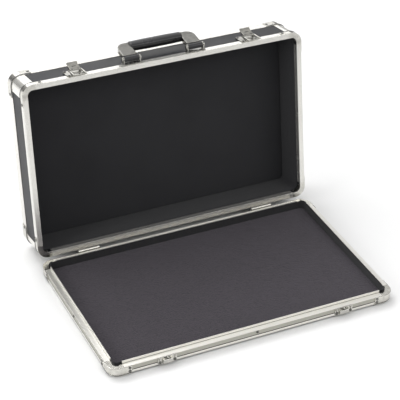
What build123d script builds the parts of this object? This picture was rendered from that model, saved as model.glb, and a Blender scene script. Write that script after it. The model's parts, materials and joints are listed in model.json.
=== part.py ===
from build123d import *
import math
import os

# Guitar pedal case: a shallow carpeted tray, a deep lid on slip hinges, two draw latches, a swing handle.
# Millimetres, +Z up, +X to the right, and the tray's front faces -Y.
# The origin is the middle of the tray's underside.
# The lid and all that it carries are drawn closed, and are then swung open about the hinge axis.
# Sections of walls are drawn in (u, v): u runs inwards from the outer face, v runs up from the floor.

# Driving dimensions of the closed case
CASE_LENGTH = 560.0
CASE_WIDTH = 340.0
CORNER_RADIUS = 20.0
TRAY_HEIGHT = 21.0
TONGUE_HEIGHT = 5.0
LID_HEIGHT = 83.0
LID_OPEN_ANGLE = 100.0
LINING_FACE = 12.5

# Tray frame extrusion
FRAME_WALL = 2.0
FRAME_EDGE_RADIUS = 9.0
FRAME_FLANGE = 14.5
TONGUE_OUTER = 10.0
TONGUE_INNER = 11.5
INNER_LEG_FOOT = 12.0
GROOVE_HEIGHT = 11.2
GROOVE_WIDTH = 1.2
GROOVE_DEPTH = 0.9
SPLICE = 6.0

# Tray boards, carpet and lining
BASE_BOARD_TOP = 6.5
BASE_BOARD_EDGE = 9.3
CARPET_TOP = 9.0
BOARD_FACE = 2.5
POST_FACE = 0.6
LINING_TOP = 25.0
LEDGE_WEB = 1.2

# Lid boards, extrusions and linings
LID_TOP = TRAY_HEIGHT + LID_HEIGHT
LID_SKIN = 1.2
LID_PANEL = 3.0
LID_BOARD_INNER = 8.2
RIM_BAND = 14.0
RIM_INNER_LEG = 12.0
EDGE_SIDE_LEG = 21.0
EDGE_FLANGE = 14.5
EDGE_ROUND = 2.0
FLANGE_GROOVE = 5.5
LID_LINING_FACE = 10.2
LID_LINING_FOOT = 33.5
FOAM_THICKNESS = 6.0
FOAM_INSET = 10.5
PANEL_UNDERSIDE = LID_TOP - LID_SKIN - LID_PANEL

# Steel corner pieces
CORNER_STEEL = 1.0
CORNER_LEG = 20.0
GUSSET_REACH = 39.0
CORNER_LIP_ANGLE = 60.0

# Slip hinges
HINGE_SPACING = 364.0
HINGE_LENGTH = 42.0
HINGE_OFFSET = 4.5
LEAF_THICKNESS = 1.5
LEAF_HEIGHT = 12.5
LEAF_GAP = 2.2
LEAF_SCREW_INSET = 3.7
KNUCKLE_RADIUS = 3.5
NECK_DEPTH = 1.3
KNUCKLE_BORE = 2.1
KNUCKLE_GAP = 0.3
PIN_RADIUS = 2.0
STOP_WIDTH = 10.0
STOP_FACE = 9.2
STOP_REACH = 12.0
STOP_SHELF = 4.5
STOP_FOOT = 6.0

# Draw latches and their catches
LATCH_SPACING = 348.0
LATCH_PLATE_WIDTH = 34.0
LATCH_PLATE_FOOT = 24.0
LATCH_PLATE_TOP = 55.0
HARDWARE_STEEL = 1.2
LEVER_PIVOT = (4.5, 28.0)
BAIL_PIVOT = (7.5, 34.0)
LEVER_WIDTH = 20.0
LEVER_TIP = 52.0
LEVER_LIFT = 15.0
BAIL_RATIO = -1.4
BAIL_BAR = (4.0, 6.0)
BAIL_WIRE = 1.2
LATCH_PIN_RADIUS = 1.5
PIN_CLEARANCE = 0.1
CATCH_WIDTH = 36.0
CATCH_FOOT = 5.0
CATCH_TOP = 20.5
HOOK_WIDTH = 19.0
HOOK_REACH = 6.2
HOOK_FOOT = 7.5
HOOK_TOP = 16.5
CATCH_STUD = (18.6, 1.5)
STUD_LENGTH = 3.4
GUIDE_INNER = 13.3
GUIDE_OUTER = 15.6
GUIDE_REACH = 4.6

# Swing handle
HANDLE_PIVOT = (9.0, 33.0)
HANDLE_SPACING = 128.0
HANDLE_REACH = 38.0
HANDLE_LIFT = 15.0
GRIP_LENGTH = 104.0
GRIP_WIDTH = 20.0
GRIP_DEPTH = 17.0
STRAP_WIDTH = 15.0
STRAP_THICKNESS = 9.0
STRAP_SHELL = 1.6
ELBOW_WIDTH = 27.0
ELBOW_RADIUS = 16.0
ELBOW_FOOT = 6.5
BRACKET_WIDTH = 38.0
BRACKET_FOOT = 24.0
BRACKET_TOP = 40.0
CHEEK_INNER = 14.5
CHEEK_OUTER = 17.0
CHEEK_RADIUS = 5.5
HANDLE_PIN_RADIUS = 2.5
PIN_HEAD = (4.0, 1.6)
BUSH_RADIUS = 5.0
BLOCK_REACH = 8.0

# Fasteners
RIVET_RADIUS = 2.8
RIVET_HEIGHT = 0.9
SCREW_RADIUS = 2.7
SCREW_HEIGHT = 1.3

HINGE_AXIS = Axis((0, CASE_WIDTH / 2 + HINGE_OFFSET, TRAY_HEIGHT), (1, 0, 0))
INWARD = {"front": (0, 1, 0), "back": (0, -1, 0), "left": (1, 0, 0), "right": (-1, 0, 0)}
# Each corner of the plan: its side along X, its side along Y, and the direction in which its arc starts
CORNERS = {
    "front_left": (-1, -1, 180),
    "front_right": (1, -1, 270),
    "back_right": (1, 1, 0),
    "back_left": (-1, 1, 90),
}
SIDES = {"left": -1, "right": 1}


def half_span(side):
    """Half the length of a wall between the starts of its round corners."""
    whole = CASE_LENGTH if side in ("front", "back") else CASE_WIDTH
    return whole / 2 - CORNER_RADIUS


def wall_plane(side):
    """The section plane in the middle of a wall: local x runs inwards and local y runs up."""
    inward = Vector(*INWARD[side])
    reach = CASE_WIDTH / 2 if side in ("front", "back") else CASE_LENGTH / 2
    return Plane(origin=inward * -reach, x_dir=inward, z_dir=inward.cross(Vector(0, 0, 1)))


def corner_centre(corner):
    """The point about which a corner of the plan is rounded."""
    right, back, _ = CORNERS[corner]
    return Vector(right * (CASE_LENGTH / 2 - CORNER_RADIUS), back * (CASE_WIDTH / 2 - CORNER_RADIUS), 0)


def corner_plane(corner, degrees):
    """The section plane across a round corner, in the given direction from its centre."""
    outward = Vector(math.cos(math.radians(degrees)), math.sin(math.radians(degrees)), 0)
    origin = corner_centre(corner) + outward * CORNER_RADIUS
    return Plane(origin=origin, x_dir=-outward, z_dir=(-outward).cross(Vector(0, 0, 1)))


def uv_box(u_low, u_high, v_low, v_high):
    """A rectangle in a section."""
    return Pos((u_low + u_high) / 2, (v_low + v_high) / 2) * Rectangle(u_high - u_low, v_high - v_low)


def along_wall(side, section, half_length):
    """A straight run of one section along a wall."""
    return extrude(wall_plane(side) * section, amount=half_length, both=True)


def turn_corner(corner, section, leg):
    """One section carried round a corner, with a straight leg on each side."""
    start_angle = CORNERS[corner][2]
    start = corner_plane(corner, start_angle) * section
    end = corner_plane(corner, start_angle + 90) * section
    turn = revolve(start, axis=Axis(corner_centre(corner), (0, 0, 1)), revolution_arc=90)
    if leg == 0:
        return turn
    return turn + extrude(start, amount=-leg) + extrude(end, amount=leg)


def plan_plate(inset, low, high):
    """A flat sheet with the case's round-cornered outline, inset from the outer face."""
    outline = RectangleRounded(CASE_LENGTH - 2 * inset, CASE_WIDTH - 2 * inset, CORNER_RADIUS - inset)
    return Pos(0, 0, low) * extrude(outline, amount=high - low)


def plan_ring(outer_inset, inner_inset, low, high):
    """A wall of even thickness that follows the case's round-cornered outline."""
    return plan_plate(outer_inset, low, high) - plan_plate(inner_inset, low, high)


def swing(radius, centre, degrees):
    """A point of a section on a circle, with the angle counted from inwards towards up."""
    angle = math.radians(degrees)
    return (centre[0] + radius * math.cos(angle), centre[1] + radius * math.sin(angle))


def open_lid(shape):
    """Carries a lid piece from where it is drawn, closed, to the open rest position."""
    return shape.rotate(HINGE_AXIS, -LID_OPEN_ANGLE)


# ---------------------------------------------------------------------------------------------- fasteners


def rivet():
    """A domed rivet head, standing on the XY plane."""
    head = extrude(Circle(RIVET_RADIUS), amount=RIVET_HEIGHT)
    return fillet(head.edges().sort_by(Axis.Z)[-1], RIVET_HEIGHT * 0.7)


def screw():
    """A cross-recessed pan head, standing on the XY plane."""
    head = extrude(Circle(SCREW_RADIUS), amount=SCREW_HEIGHT)
    head = fillet(head.edges().sort_by(Axis.Z)[-1], SCREW_HEIGHT * 0.55)
    bar = Pos(0, 0, SCREW_HEIGHT) * Box(SCREW_RADIUS * 1.1, 0.7, SCREW_HEIGHT)
    return head - bar - Rot(0, 0, 90) * bar


def stand_on_wall(side, shape, along, height, proud=0.0):
    """Stands a fastener on a wall's outer face, `along` the wall from its middle."""
    wall = wall_plane(side)
    foot = wall.from_local_coords((-proud, height, along))
    return Plane(origin=foot, x_dir=(0, 0, 1), z_dir=-wall.x_dir) * shape


def both_ways(side, shape, along, height, proud=0.0):
    """The same fastener at both ends of a wall."""
    return [stand_on_wall(side, shape, place, height, proud) for place in (-along, along)]


def middle_screws(height):
    """One screw in the middle of each of the four walls."""
    return [stand_on_wall(side, screw(), 0, height) for side in INWARD]


# --------------------------------------------------------------------------------------------------- tray


def frame_section():
    """The tray's extrusion: a round lower edge, a groove, a ledge for the lid and a tongue inside it."""
    centre = (FRAME_EDGE_RADIUS, FRAME_EDGE_RADIUS)
    inner_radius = FRAME_EDGE_RADIUS - FRAME_WALL
    web = TRAY_HEIGHT - FRAME_WALL
    outside = Polyline(
        swing(FRAME_EDGE_RADIUS, centre, 180),
        (0, GROOVE_HEIGHT - GROOVE_WIDTH / 2),
        (GROOVE_DEPTH, GROOVE_HEIGHT - GROOVE_WIDTH / 2),
        (GROOVE_DEPTH, GROOVE_HEIGHT + GROOVE_WIDTH / 2),
        (0, GROOVE_HEIGHT + GROOVE_WIDTH / 2),
        (0, TRAY_HEIGHT),
        (TONGUE_OUTER, TRAY_HEIGHT),
        (TONGUE_OUTER, TRAY_HEIGHT + TONGUE_HEIGHT),
        (TONGUE_INNER, TRAY_HEIGHT + TONGUE_HEIGHT),
        (TONGUE_INNER, INNER_LEG_FOOT),
        (TONGUE_OUTER, INNER_LEG_FOOT),
        (TONGUE_OUTER, web),
        (FRAME_WALL, web),
        swing(inner_radius, centre, 180),
    )
    inner_arc = ThreePointArc(*(swing(inner_radius, centre, turn) for turn in (180, 225, 270)))
    flange_end = [(FRAME_FLANGE, FRAME_WALL), (FRAME_FLANGE, 0)]
    flange = Polyline(inner_arc @ 1, *flange_end, swing(FRAME_EDGE_RADIUS, centre, 270))
    outer_arc = ThreePointArc(*(swing(FRAME_EDGE_RADIUS, centre, turn) for turn in (270, 225, 180)))
    return Face(Wire([*outside.edges(), inner_arc, *flange.edges(), outer_arc]))


def tray_frame(side):
    """One straight length of the tray's extrusion."""
    return along_wall(side, frame_section(), half_span(side) - SPLICE)


def tray_bottom_panel():
    """The base board, let down between the frame's flanges so that its underside is flush with them."""
    return plan_plate(BASE_BOARD_EDGE, FRAME_WALL, BASE_BOARD_TOP) + plan_plate(FRAME_FLANGE, 0, FRAME_WALL)


def tray_carpet():
    """The looped carpet that pedals stick to."""
    return plan_plate(LINING_FACE + 0.2, BASE_BOARD_TOP, CARPET_TOP)


def tray_wall_boards():
    """Four wall strips inside the frame, and a moulded post in each round corner."""
    web = TRAY_HEIGHT - FRAME_WALL
    strip = uv_box(BOARD_FACE, TONGUE_OUTER, BASE_BOARD_TOP, web)
    strips = [along_wall(side, strip, half_span(side)) for side in INWARD]
    low_post = uv_box(POST_FACE, TONGUE_INNER, BASE_BOARD_TOP, TRAY_HEIGHT - LEDGE_WEB)
    high_post = uv_box(TONGUE_OUTER, TONGUE_INNER, TRAY_HEIGHT - LEDGE_WEB, LINING_TOP)
    posts = [turn_corner(corner, low_post, 0) + turn_corner(corner, high_post, 0) for corner in CORNERS]
    return Compound(strips + posts)


def tray_wall_lining():
    """The thin felt on the inside of the tray's walls."""
    return plan_ring(TONGUE_INNER, LINING_FACE, BASE_BOARD_TOP, LINING_TOP)


def tray_corner(corner):
    """A pressed steel cap that follows the frame's outside round a corner and covers the splice."""
    centre = (FRAME_EDGE_RADIUS, FRAME_EDGE_RADIUS)
    outer = FRAME_EDGE_RADIUS + CORNER_STEEL
    lip, half_lip = 180 + CORNER_LIP_ANGLE, 180 + CORNER_LIP_ANGLE / 2
    outer_arc = ThreePointArc(*(swing(outer, centre, turn) for turn in (180, half_lip, lip)))
    inner_arc = ThreePointArc(*(swing(FRAME_EDGE_RADIUS, centre, turn) for turn in (lip, half_lip, 180)))
    wall = Polyline(inner_arc @ 1, (0, TRAY_HEIGHT), (-CORNER_STEEL, TRAY_HEIGHT), outer_arc @ 0)
    shell = Face(Wire([outer_arc, Line(outer_arc @ 1, inner_arc @ 0), inner_arc, *wall.edges()]))
    ledge = uv_box(0, TONGUE_OUTER, TRAY_HEIGHT - LEDGE_WEB, TRAY_HEIGHT)
    return turn_corner(corner, shell, CORNER_LEG) + turn_corner(corner, ledge, SPLICE)


def tray_rivets():
    """Two rivets in each leg of the tray's corner caps."""
    end_gap = CORNER_LEG - 4.0
    rows = (TRAY_HEIGHT - 4.5, FRAME_EDGE_RADIUS + 0.5)
    return Compound([
        one
        for side in INWARD
        for row in rows
        for one in both_ways(side, rivet(), half_span(side) - end_gap, row, CORNER_STEEL)
    ])


# ------------------------------------------------------------------------------------------------- hinges


def hinge_line(x_low, x_high, radius):
    """A round bar on the hinge axis."""
    end = Plane(origin=HINGE_AXIS.position + Vector(x_low, 0, 0), z_dir=(1, 0, 0))
    return extrude(end * Circle(radius), amount=x_high - x_low)


def knuckle(x_low, x_high, low, high):
    """A leaf's rolled knuckle with its bore, joined to the leaf by a neck between two heights."""
    face = CASE_WIDTH / 2
    neck = Pos((x_low + x_high) / 2, face + HINGE_OFFSET / 2, (low + high) / 2)
    neck = neck * Box(x_high - x_low, HINGE_OFFSET, high - low)
    return hinge_line(x_low, x_high, KNUCKLE_RADIUS) + neck - hinge_line(x_low, x_high, KNUCKLE_BORE)


def leaf_plate(middle, low, high):
    """The flat of a hinge leaf on the back wall."""
    centre = (middle, CASE_WIDTH / 2 + LEAF_THICKNESS / 2, (low + high) / 2)
    plate = Pos(*centre) * Box(HINGE_LENGTH, LEAF_THICKNESS, high - low)
    return fillet(plate.edges().filter_by(Axis.Y), 2.0)


def hinge_leaf_lower(middle):
    """The tray's leaf: a knuckle on its left half, and a finger that stops the open lid on its right."""
    top = TRAY_HEIGHT - LEAF_GAP
    leaf = leaf_plate(middle, top - LEAF_HEIGHT, top)
    leaf += knuckle(middle - HINGE_LENGTH / 2, middle, top - NECK_DEPTH, top)
    shelf = [(LEAF_THICKNESS, -STOP_FOOT), (STOP_REACH, -STOP_FOOT)]
    finger = [(STOP_REACH, 0.6), (STOP_FACE, 1.1), (STOP_FACE, -STOP_SHELF), (LEAF_THICKNESS, -STOP_SHELF)]
    stop = make_face(Polyline(*shelf, *finger, close=True))
    origin = (middle + HINGE_LENGTH / 4, CASE_WIDTH / 2, TRAY_HEIGHT)
    stop_plane = Plane(origin=origin, x_dir=(0, 1, 0), z_dir=(1, 0, 0))
    return leaf + extrude(stop_plane * stop, amount=STOP_WIDTH / 2, both=True)


def hinge_leaf_upper(middle):
    """The lid's leaf, with its knuckle on the right half."""
    low = TRAY_HEIGHT + LEAF_GAP
    leaf = leaf_plate(middle, low, low + LEAF_HEIGHT)
    return leaf + knuckle(middle + KNUCKLE_GAP, middle + HINGE_LENGTH / 2, low, low + NECK_DEPTH)


def hinge_pin(middle):
    """The pin that joins the two leaves, and slides out of the tray's knuckle with the lid."""
    return hinge_line(middle - HINGE_LENGTH / 2 + 1, middle + HINGE_LENGTH / 2 - 0.5, PIN_RADIUS)


def leaf_screws(row):
    """Two screws through each hinge leaf."""
    places = [side * HINGE_SPACING / 2 + step for side in SIDES.values() for step in (-13.0, 13.0)]
    return [stand_on_wall("back", screw(), place, row, LEAF_THICKNESS) for place in places]


# ------------------------------------------------------------------------------------- hardware on the front


def front_plane(middle):
    """The section plane of the front's hardware: local x runs outwards and local y runs up."""
    return Plane(origin=(middle, -CASE_WIDTH / 2, 0), x_dir=(0, -1, 0), z_dir=(-1, 0, 0))


def slab(section, middle, x_low, x_high):
    """A front-wall section extruded between two distances along X from its middle."""
    plane = front_plane(middle + (x_low + x_high) / 2)
    return extrude(plane * section, amount=(x_high - x_low) / 2, both=True)


def paired(section, middle, inner, outer):
    """The same slab on both sides of the middle."""
    return slab(section, middle, inner, outer) + slab(section, middle, -outer, -inner)


def disc(centre, radius):
    """A round section."""
    return Pos(*centre) * Circle(radius)


def turned(section, pivot, degrees):
    """A section turned about a pivot, from up towards outwards."""
    return Pos(*pivot) * Rot(0, 0, -degrees) * Pos(-pivot[0], -pivot[1]) * section


def footed_plate(middle, width, low, high):
    """A mounting plate on the lid's front wall, thicker where it leaves the rim and lies on the board."""
    plate = slab(uv_box(0, HARDWARE_STEEL, low, high), middle, -width / 2, width / 2)
    plate = fillet(plate.edges().filter_by(Axis.Y), 3.0)
    pad = uv_box(-LID_SKIN, 0, TRAY_HEIGHT + RIM_BAND, high - 2.0)
    return plate + slab(pad, middle, -width / 2 + 3, width / 2 - 3)


def catch(middle):
    """The tray's half of a latch: a hook with a pocket in its top, a stud over it, a guide at each end."""
    half_plate, half_hook = CATCH_WIDTH / 2, HOOK_WIDTH / 2
    plate = slab(uv_box(0, HARDWARE_STEEL, CATCH_FOOT, CATCH_TOP), middle, -half_plate, half_plate)
    plate = fillet(plate.edges().filter_by(Axis.Y), 3.0)
    hook = slab(uv_box(HARDWARE_STEEL, HOOK_REACH, HOOK_FOOT, HOOK_TOP), middle, -half_hook, half_hook)
    outer_face = hook.faces().sort_by(Axis.Y)[0]
    hook = fillet(outer_face.edges(), 2.0)
    pocket = slab(uv_box(2.2, 4.6, HOOK_TOP - 4.5, HOOK_TOP + 1), middle, -6.0, 6.0)
    nose = [(GUIDE_REACH, 15.5), (GUIDE_REACH, 19.0)]
    guide_side = Polyline((0.5, 13.0), *nose, (0.5, CATCH_TOP), close=True)
    guides = paired(make_face(guide_side), middle, GUIDE_INNER, GUIDE_OUTER)
    stud_height, stud_radius = CATCH_STUD
    stud = extrude(Circle(stud_radius), amount=STUD_LENGTH)
    return plate + hook - pocket + guides + stand_on_wall("front", stud, middle, stud_height)


def latch_base(middle):
    """The lid's latch plate, with the two ears that carry the lever."""
    pivot_height = LEVER_PIVOT[1]
    foot = [(0.5, pivot_height - 4.0), (0.5, pivot_height + 4.0)]
    nose = [(5.5, pivot_height + 3.0), (7.0, pivot_height + 0.5), (6.0, pivot_height - 2.5)]
    ear = make_face(Polyline(*foot, *nose, (3.5, pivot_height - 4.0), close=True))
    bore = disc(LEVER_PIVOT, LATCH_PIN_RADIUS)
    ears = paired(ear - bore, middle, LEVER_WIDTH / 2 - 4.0, LEVER_WIDTH / 2 - 2.0)
    return footed_plate(middle, LATCH_PLATE_WIDTH, LATCH_PLATE_FOOT, LATCH_PLATE_TOP) + ears


def latch_pin(middle):
    """The lever's pivot pin, fixed in the ears of the base."""
    reach = LEVER_WIDTH / 2 - 0.1
    return slab(disc(LEVER_PIVOT, LATCH_PIN_RADIUS), middle, -reach, reach)


def latch_lever(middle):
    """The lever: a channel over the pivot with a lip for the finger, lifted as it rests when undone."""
    outer, bore = LEVER_WIDTH / 2, LATCH_PIN_RADIUS + PIN_CLEARANCE
    heel, bend = LEVER_PIVOT[1] + 1.0, LEVER_TIP - 5.0
    lip = [(9.5, bend), (12.0, LEVER_TIP), (13.5, LEVER_TIP - 0.6), (11.0, bend - 0.4)]
    back = make_face(Polyline((9.0, heel), *lip, (10.5, heel), close=True))
    foot = [(9.6, heel + 0.3), (6.5, heel - 3.2), (3.4, heel - 3.6)]
    rim = [(2.2, heel - 2.0), (2.2, heel + 0.5), (4.5, heel + 7.5), (9.6, bend)]
    cheek = make_face(Polyline(*rim, *foot, close=True))
    cheek = cheek - disc(LEVER_PIVOT, bore) - disc(BAIL_PIVOT, bore)
    back, cheek = (turned(section, LEVER_PIVOT, LEVER_LIFT) for section in (back, cheek))
    return slab(back, middle, -outer, outer) + paired(cheek, middle, outer - 1.5, outer)


def latch_bail(middle):
    """The wire bail that hooks into the catch: two arms outside the lever, a cross bar, two stub pins."""
    tilt = -LEVER_LIFT * (1 + BAIL_RATIO)
    inner, outer = LEVER_WIDTH / 2 + 0.4, LEVER_WIDTH / 2 + 0.4 + 2 * BAIL_WIRE
    lifted_pivot = turned(Pos(*BAIL_PIVOT) * Circle(BAIL_WIRE), LEVER_PIVOT, LEVER_LIFT).center()
    reach = (BAIL_BAR[0] - BAIL_PIVOT[0], BAIL_BAR[1] - BAIL_PIVOT[1])
    length = math.hypot(*reach)
    arm = Pos(0, -length / 2) * SlotOverall(length + 2 * BAIL_WIRE, 2 * BAIL_WIRE, rotation=90)
    lean = math.degrees(math.atan2(-reach[0], -reach[1]))
    at_pivot = Pos(lifted_pivot.X, lifted_pivot.Y) * Rot(0, 0, tilt - lean)
    bar = at_pivot * Pos(0, -length) * Circle(BAIL_WIRE)
    stub = at_pivot * Circle(LATCH_PIN_RADIUS)
    arms = paired(at_pivot * arm, middle, inner, outer)
    return arms + slab(bar, middle, -outer, outer) + paired(stub, middle, LEVER_WIDTH / 2 - 1.6, outer)


def hardware_screws(spacing, places, rows, proud):
    """Screws in a pair of front-wall plates, `places` from each plate's middle."""
    return [
        stand_on_wall("front", screw(), side * spacing / 2 + place, row, proud)
        for side in SIDES.values()
        for place in places
        for row in rows
    ]


# ------------------------------------------------------------------------------------------------- handle


def handle_bracket(middle):
    """A plate with two round-nosed cheeks for the handle's pin."""
    nose = disc(HANDLE_PIVOT, CHEEK_RADIUS)
    neck = uv_box(0.5, HANDLE_PIVOT[0], HANDLE_PIVOT[1] - CHEEK_RADIUS, HANDLE_PIVOT[1] + CHEEK_RADIUS)
    cheek = nose + neck - disc(HANDLE_PIVOT, HANDLE_PIN_RADIUS)
    plate = footed_plate(middle, BRACKET_WIDTH, BRACKET_FOOT, BRACKET_TOP)
    return plate + paired(cheek, middle, CHEEK_INNER, CHEEK_OUTER)


def handle_pin(middle):
    """A pivot pin with a round head outside each cheek."""
    radius, height = PIN_HEAD
    shank = slab(disc(HANDLE_PIVOT, HANDLE_PIN_RADIUS), middle, -CHEEK_OUTER, CHEEK_OUTER)
    return shank + paired(disc(HANDLE_PIVOT, radius), middle, CHEEK_OUTER, CHEEK_OUTER + height)


def handle_plane():
    """The folded handle's plane: local x runs along the case, local y from pivots to grip."""
    lift = math.radians(HANDLE_LIFT)
    origin = front_plane(0).from_local_coords((*HANDLE_PIVOT, 0))
    reach = Vector(0, -math.sin(lift), math.cos(lift))
    return Plane(origin=origin, x_dir=(1, 0, 0), z_dir=Vector(1, 0, 0).cross(reach))


def elbow_outline(inset):
    """The U of the handle's frame in its own plane: a cross bar, and a broad elbow at each end."""
    half, across, leg = HANDLE_SPACING / 2, STRAP_WIDTH / 2 - inset, ELBOW_WIDTH / 2 - inset
    foot = ELBOW_FOOT if inset == 0 else 0
    outline = uv_box(-half - leg, half + leg, HANDLE_REACH - across, HANDLE_REACH + across)
    for middle in (-half, half):
        outline += uv_box(middle - leg, middle + leg, foot, HANDLE_REACH)
    return fillet(outline.vertices().sort_by(Axis.Y)[-2:], ELBOW_RADIUS - inset)


def handle_arms():
    """The plated frame: a channel that runs through the grip and widens to an elbow over each block."""
    frame = extrude(handle_plane() * elbow_outline(0), amount=STRAP_THICKNESS / 2, both=True)
    hollow = handle_plane().offset(-STRAP_THICKNESS / 2) * elbow_outline(STRAP_SHELL)
    return frame - extrude(hollow, amount=STRAP_THICKNESS - STRAP_SHELL)


def handle_bushes():
    """The black plastic blocks between the cheeks, plugged into the elbows, with bores for the pins."""
    blocks = []
    half_block = CHEEK_INNER - 0.4
    half_plug = ELBOW_WIDTH / 2 - STRAP_SHELL
    plug_depth = STRAP_THICKNESS - STRAP_SHELL
    bore = disc(HANDLE_PIVOT, HANDLE_PIN_RADIUS + PIN_CLEARANCE)
    plug = Box(2 * half_plug, 2 * BLOCK_REACH, plug_depth)
    for side in SIDES.values():
        middle = side * HANDLE_SPACING / 2
        block = slab(disc(HANDLE_PIVOT, BUSH_RADIUS), middle, -half_block, half_block)
        block += handle_plane() * Pos(middle, BLOCK_REACH, -STRAP_SHELL / 2) * plug
        blocks.append(block - slab(bore, middle, -CHEEK_INNER, CHEEK_INNER) - handle_arms())
    return Compound(blocks)


def handle_grip():
    """The soft grip moulded round the strap."""
    section = RectangleRounded(GRIP_WIDTH, GRIP_DEPTH, GRIP_DEPTH * 0.4)
    end = handle_plane() * Pos(-GRIP_LENGTH / 2, HANDLE_REACH, 0) * Rot(0, 90, 0) * Rot(0, 0, 90) * section
    grip = extrude(end, amount=GRIP_LENGTH)
    return fillet(grip.edges().group_by(Axis.X)[0] + grip.edges().group_by(Axis.X)[-1], 2.5) - handle_arms()


# ---------------------------------------------------------------------------------------------------- lid


def rim_section():
    """The lid's closing extrusion: a channel over the foot of the wall board."""
    foot, inner = TRAY_HEIGHT, LID_BOARD_INNER + LID_SKIN
    outer_leg = [(0, foot), (0, foot + RIM_BAND), (LID_SKIN, foot + RIM_BAND), (LID_SKIN, foot + LID_SKIN)]
    board_face = [(LID_BOARD_INNER, foot + LID_SKIN), (LID_BOARD_INNER, foot + RIM_INNER_LEG)]
    inner_leg = [(inner, foot + RIM_INNER_LEG), (inner, foot)]
    return make_face(Polyline(*outer_leg, *board_face, *inner_leg, close=True))


def edge_section():
    """The lid's corner extrusion, with a groove along its flange."""
    side_foot, under = LID_TOP - EDGE_SIDE_LEG, LID_TOP - LID_SKIN
    angle = make_face(Polyline(
        (0, side_foot), (0, LID_TOP), (EDGE_FLANGE, LID_TOP), (EDGE_FLANGE, under), (LID_SKIN, under),
        (LID_SKIN, side_foot), close=True,
    ))
    angle = fillet(angle.vertices().sort_by(Axis.X)[:2].sort_by(Axis.Y)[-1], EDGE_ROUND * 0.5)
    groove = uv_box(FLANGE_GROOVE, FLANGE_GROOVE + GROOVE_WIDTH, LID_TOP - GROOVE_DEPTH / 2, LID_TOP + 1)
    return angle - groove


def lid_wall(side):
    """A wall board of the lid."""
    board = uv_box(LID_SKIN, LID_BOARD_INNER, TRAY_HEIGHT + LID_SKIN, PANEL_UNDERSIDE)
    return along_wall(side, board, half_span(side))


def lid_rim(side):
    """A straight length of the lid's closing extrusion."""
    return along_wall(side, rim_section(), half_span(side) - SPLICE)


def lid_edge(side):
    """A straight length of the lid's corner extrusion."""
    return along_wall(side, edge_section(), half_span(side) - SPLICE)


def lid_uprights():
    """The four quarter-round extrusions that join the wall boards."""
    shell = uv_box(0, LID_SKIN, TRAY_HEIGHT + LID_SKIN, LID_TOP)
    rib = uv_box(LID_SKIN, LID_BOARD_INNER, TRAY_HEIGHT + LID_SKIN, PANEL_UNDERSIDE)
    uprights = []
    for corner, (_, _, start) in CORNERS.items():
        ribs = extrude(corner_plane(corner, start) * rib, amount=LID_SKIN)
        ribs += extrude(corner_plane(corner, start + 90) * rib, amount=-LID_SKIN)
        uprights.append(turn_corner(corner, shell, SPLICE) + ribs)
    return Compound(uprights)


def lid_rim_corners():
    """Steel caps over the splices of the closing extrusion, each with a web under the upright's foot."""
    band = uv_box(-CORNER_STEEL, 0, TRAY_HEIGHT, TRAY_HEIGHT + RIM_BAND)
    web = uv_box(0, LID_BOARD_INNER + LID_SKIN, TRAY_HEIGHT, TRAY_HEIGHT + LID_SKIN)
    caps = [turn_corner(corner, band, CORNER_LEG) + turn_corner(corner, web, SPLICE) for corner in CORNERS]
    return Compound(caps)


def lid_corner(corner):
    """A steel corner of the lid: a band round the side, a flange on top and a gusset on the panel."""
    side_foot, top = LID_TOP - EDGE_SIDE_LEG, LID_TOP + CORNER_STEEL
    shell = make_face(Polyline(
        (-CORNER_STEEL, side_foot), (-CORNER_STEEL, top), (EDGE_FLANGE + CORNER_STEEL, top),
        (EDGE_FLANGE + CORNER_STEEL, LID_TOP), (0, LID_TOP), (0, side_foot), close=True,
    ))
    shell = fillet(shell.vertices().sort_by(Axis.X)[:2].sort_by(Axis.Y)[-1], EDGE_ROUND * 0.9)
    right, back, _ = CORNERS[corner]
    apex = Vector(right * CASE_LENGTH / 2, back * CASE_WIDTH / 2)
    points = [(EDGE_FLANGE, EDGE_FLANGE), (GUSSET_REACH, EDGE_FLANGE), (EDGE_FLANGE, GUSSET_REACH)]
    outline = Polyline(*(apex - Vector(right * x, back * y) for x, y in points), close=True)
    panel_top = LID_TOP - LID_SKIN
    gusset = Pos(0, 0, panel_top) * extrude(make_face(outline), amount=top - 0.4 - panel_top, dir=(0, 0, 1))
    return turn_corner(corner, shell, CORNER_LEG) + gusset


def lid_top_panel():
    """The lid's big panel."""
    return plan_plate(LID_SKIN, PANEL_UNDERSIDE, LID_TOP - LID_SKIN)


def lid_foam():
    """The flat foam pad under the panel."""
    return plan_plate(FOAM_INSET, PANEL_UNDERSIDE - FOAM_THICKNESS, PANEL_UNDERSIDE)


def lid_wall_lining():
    """The foam strip on the inside of the lid's walls."""
    return plan_ring(LID_BOARD_INNER, LID_LINING_FACE, LID_LINING_FOOT, PANEL_UNDERSIDE)


def lid_rivets():
    """Rivets in the rim caps, in the sides of the lid corners, and in their flanges and gussets."""
    end_gap = CORNER_LEG - 4.0
    rows = (TRAY_HEIGHT + RIM_BAND / 2, LID_TOP - EDGE_SIDE_LEG / 2)
    heads = [
        one
        for side in INWARD
        for row in rows
        for one in both_ways(side, rivet(), half_span(side) - end_gap, row, CORNER_STEEL)
    ]
    for right, back, _ in CORNERS.values():
        for inset, level in ((10.5, LID_TOP + CORNER_STEEL), (21.5, LID_TOP + CORNER_STEEL - 0.4)):
            place = (right * (CASE_LENGTH / 2 - inset), back * (CASE_WIDTH / 2 - inset), level)
            heads.append(Pos(*place) * rivet())
    return Compound(heads)


def flange_screws():
    """One screw in the middle of each length of the lid's corner extrusion, on the panel side."""
    inset = (FLANGE_GROOVE + GROOVE_WIDTH + EDGE_FLANGE) / 2
    half_length, half_width = CASE_LENGTH / 2 - inset, CASE_WIDTH / 2 - inset
    places = [(0, -half_width), (0, half_width), (-half_length, 0), (half_length, 0)]
    return [Pos(x, y, LID_TOP) * screw() for x, y in places]


# --------------------------------------------------------------------------------------------- assembly


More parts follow.
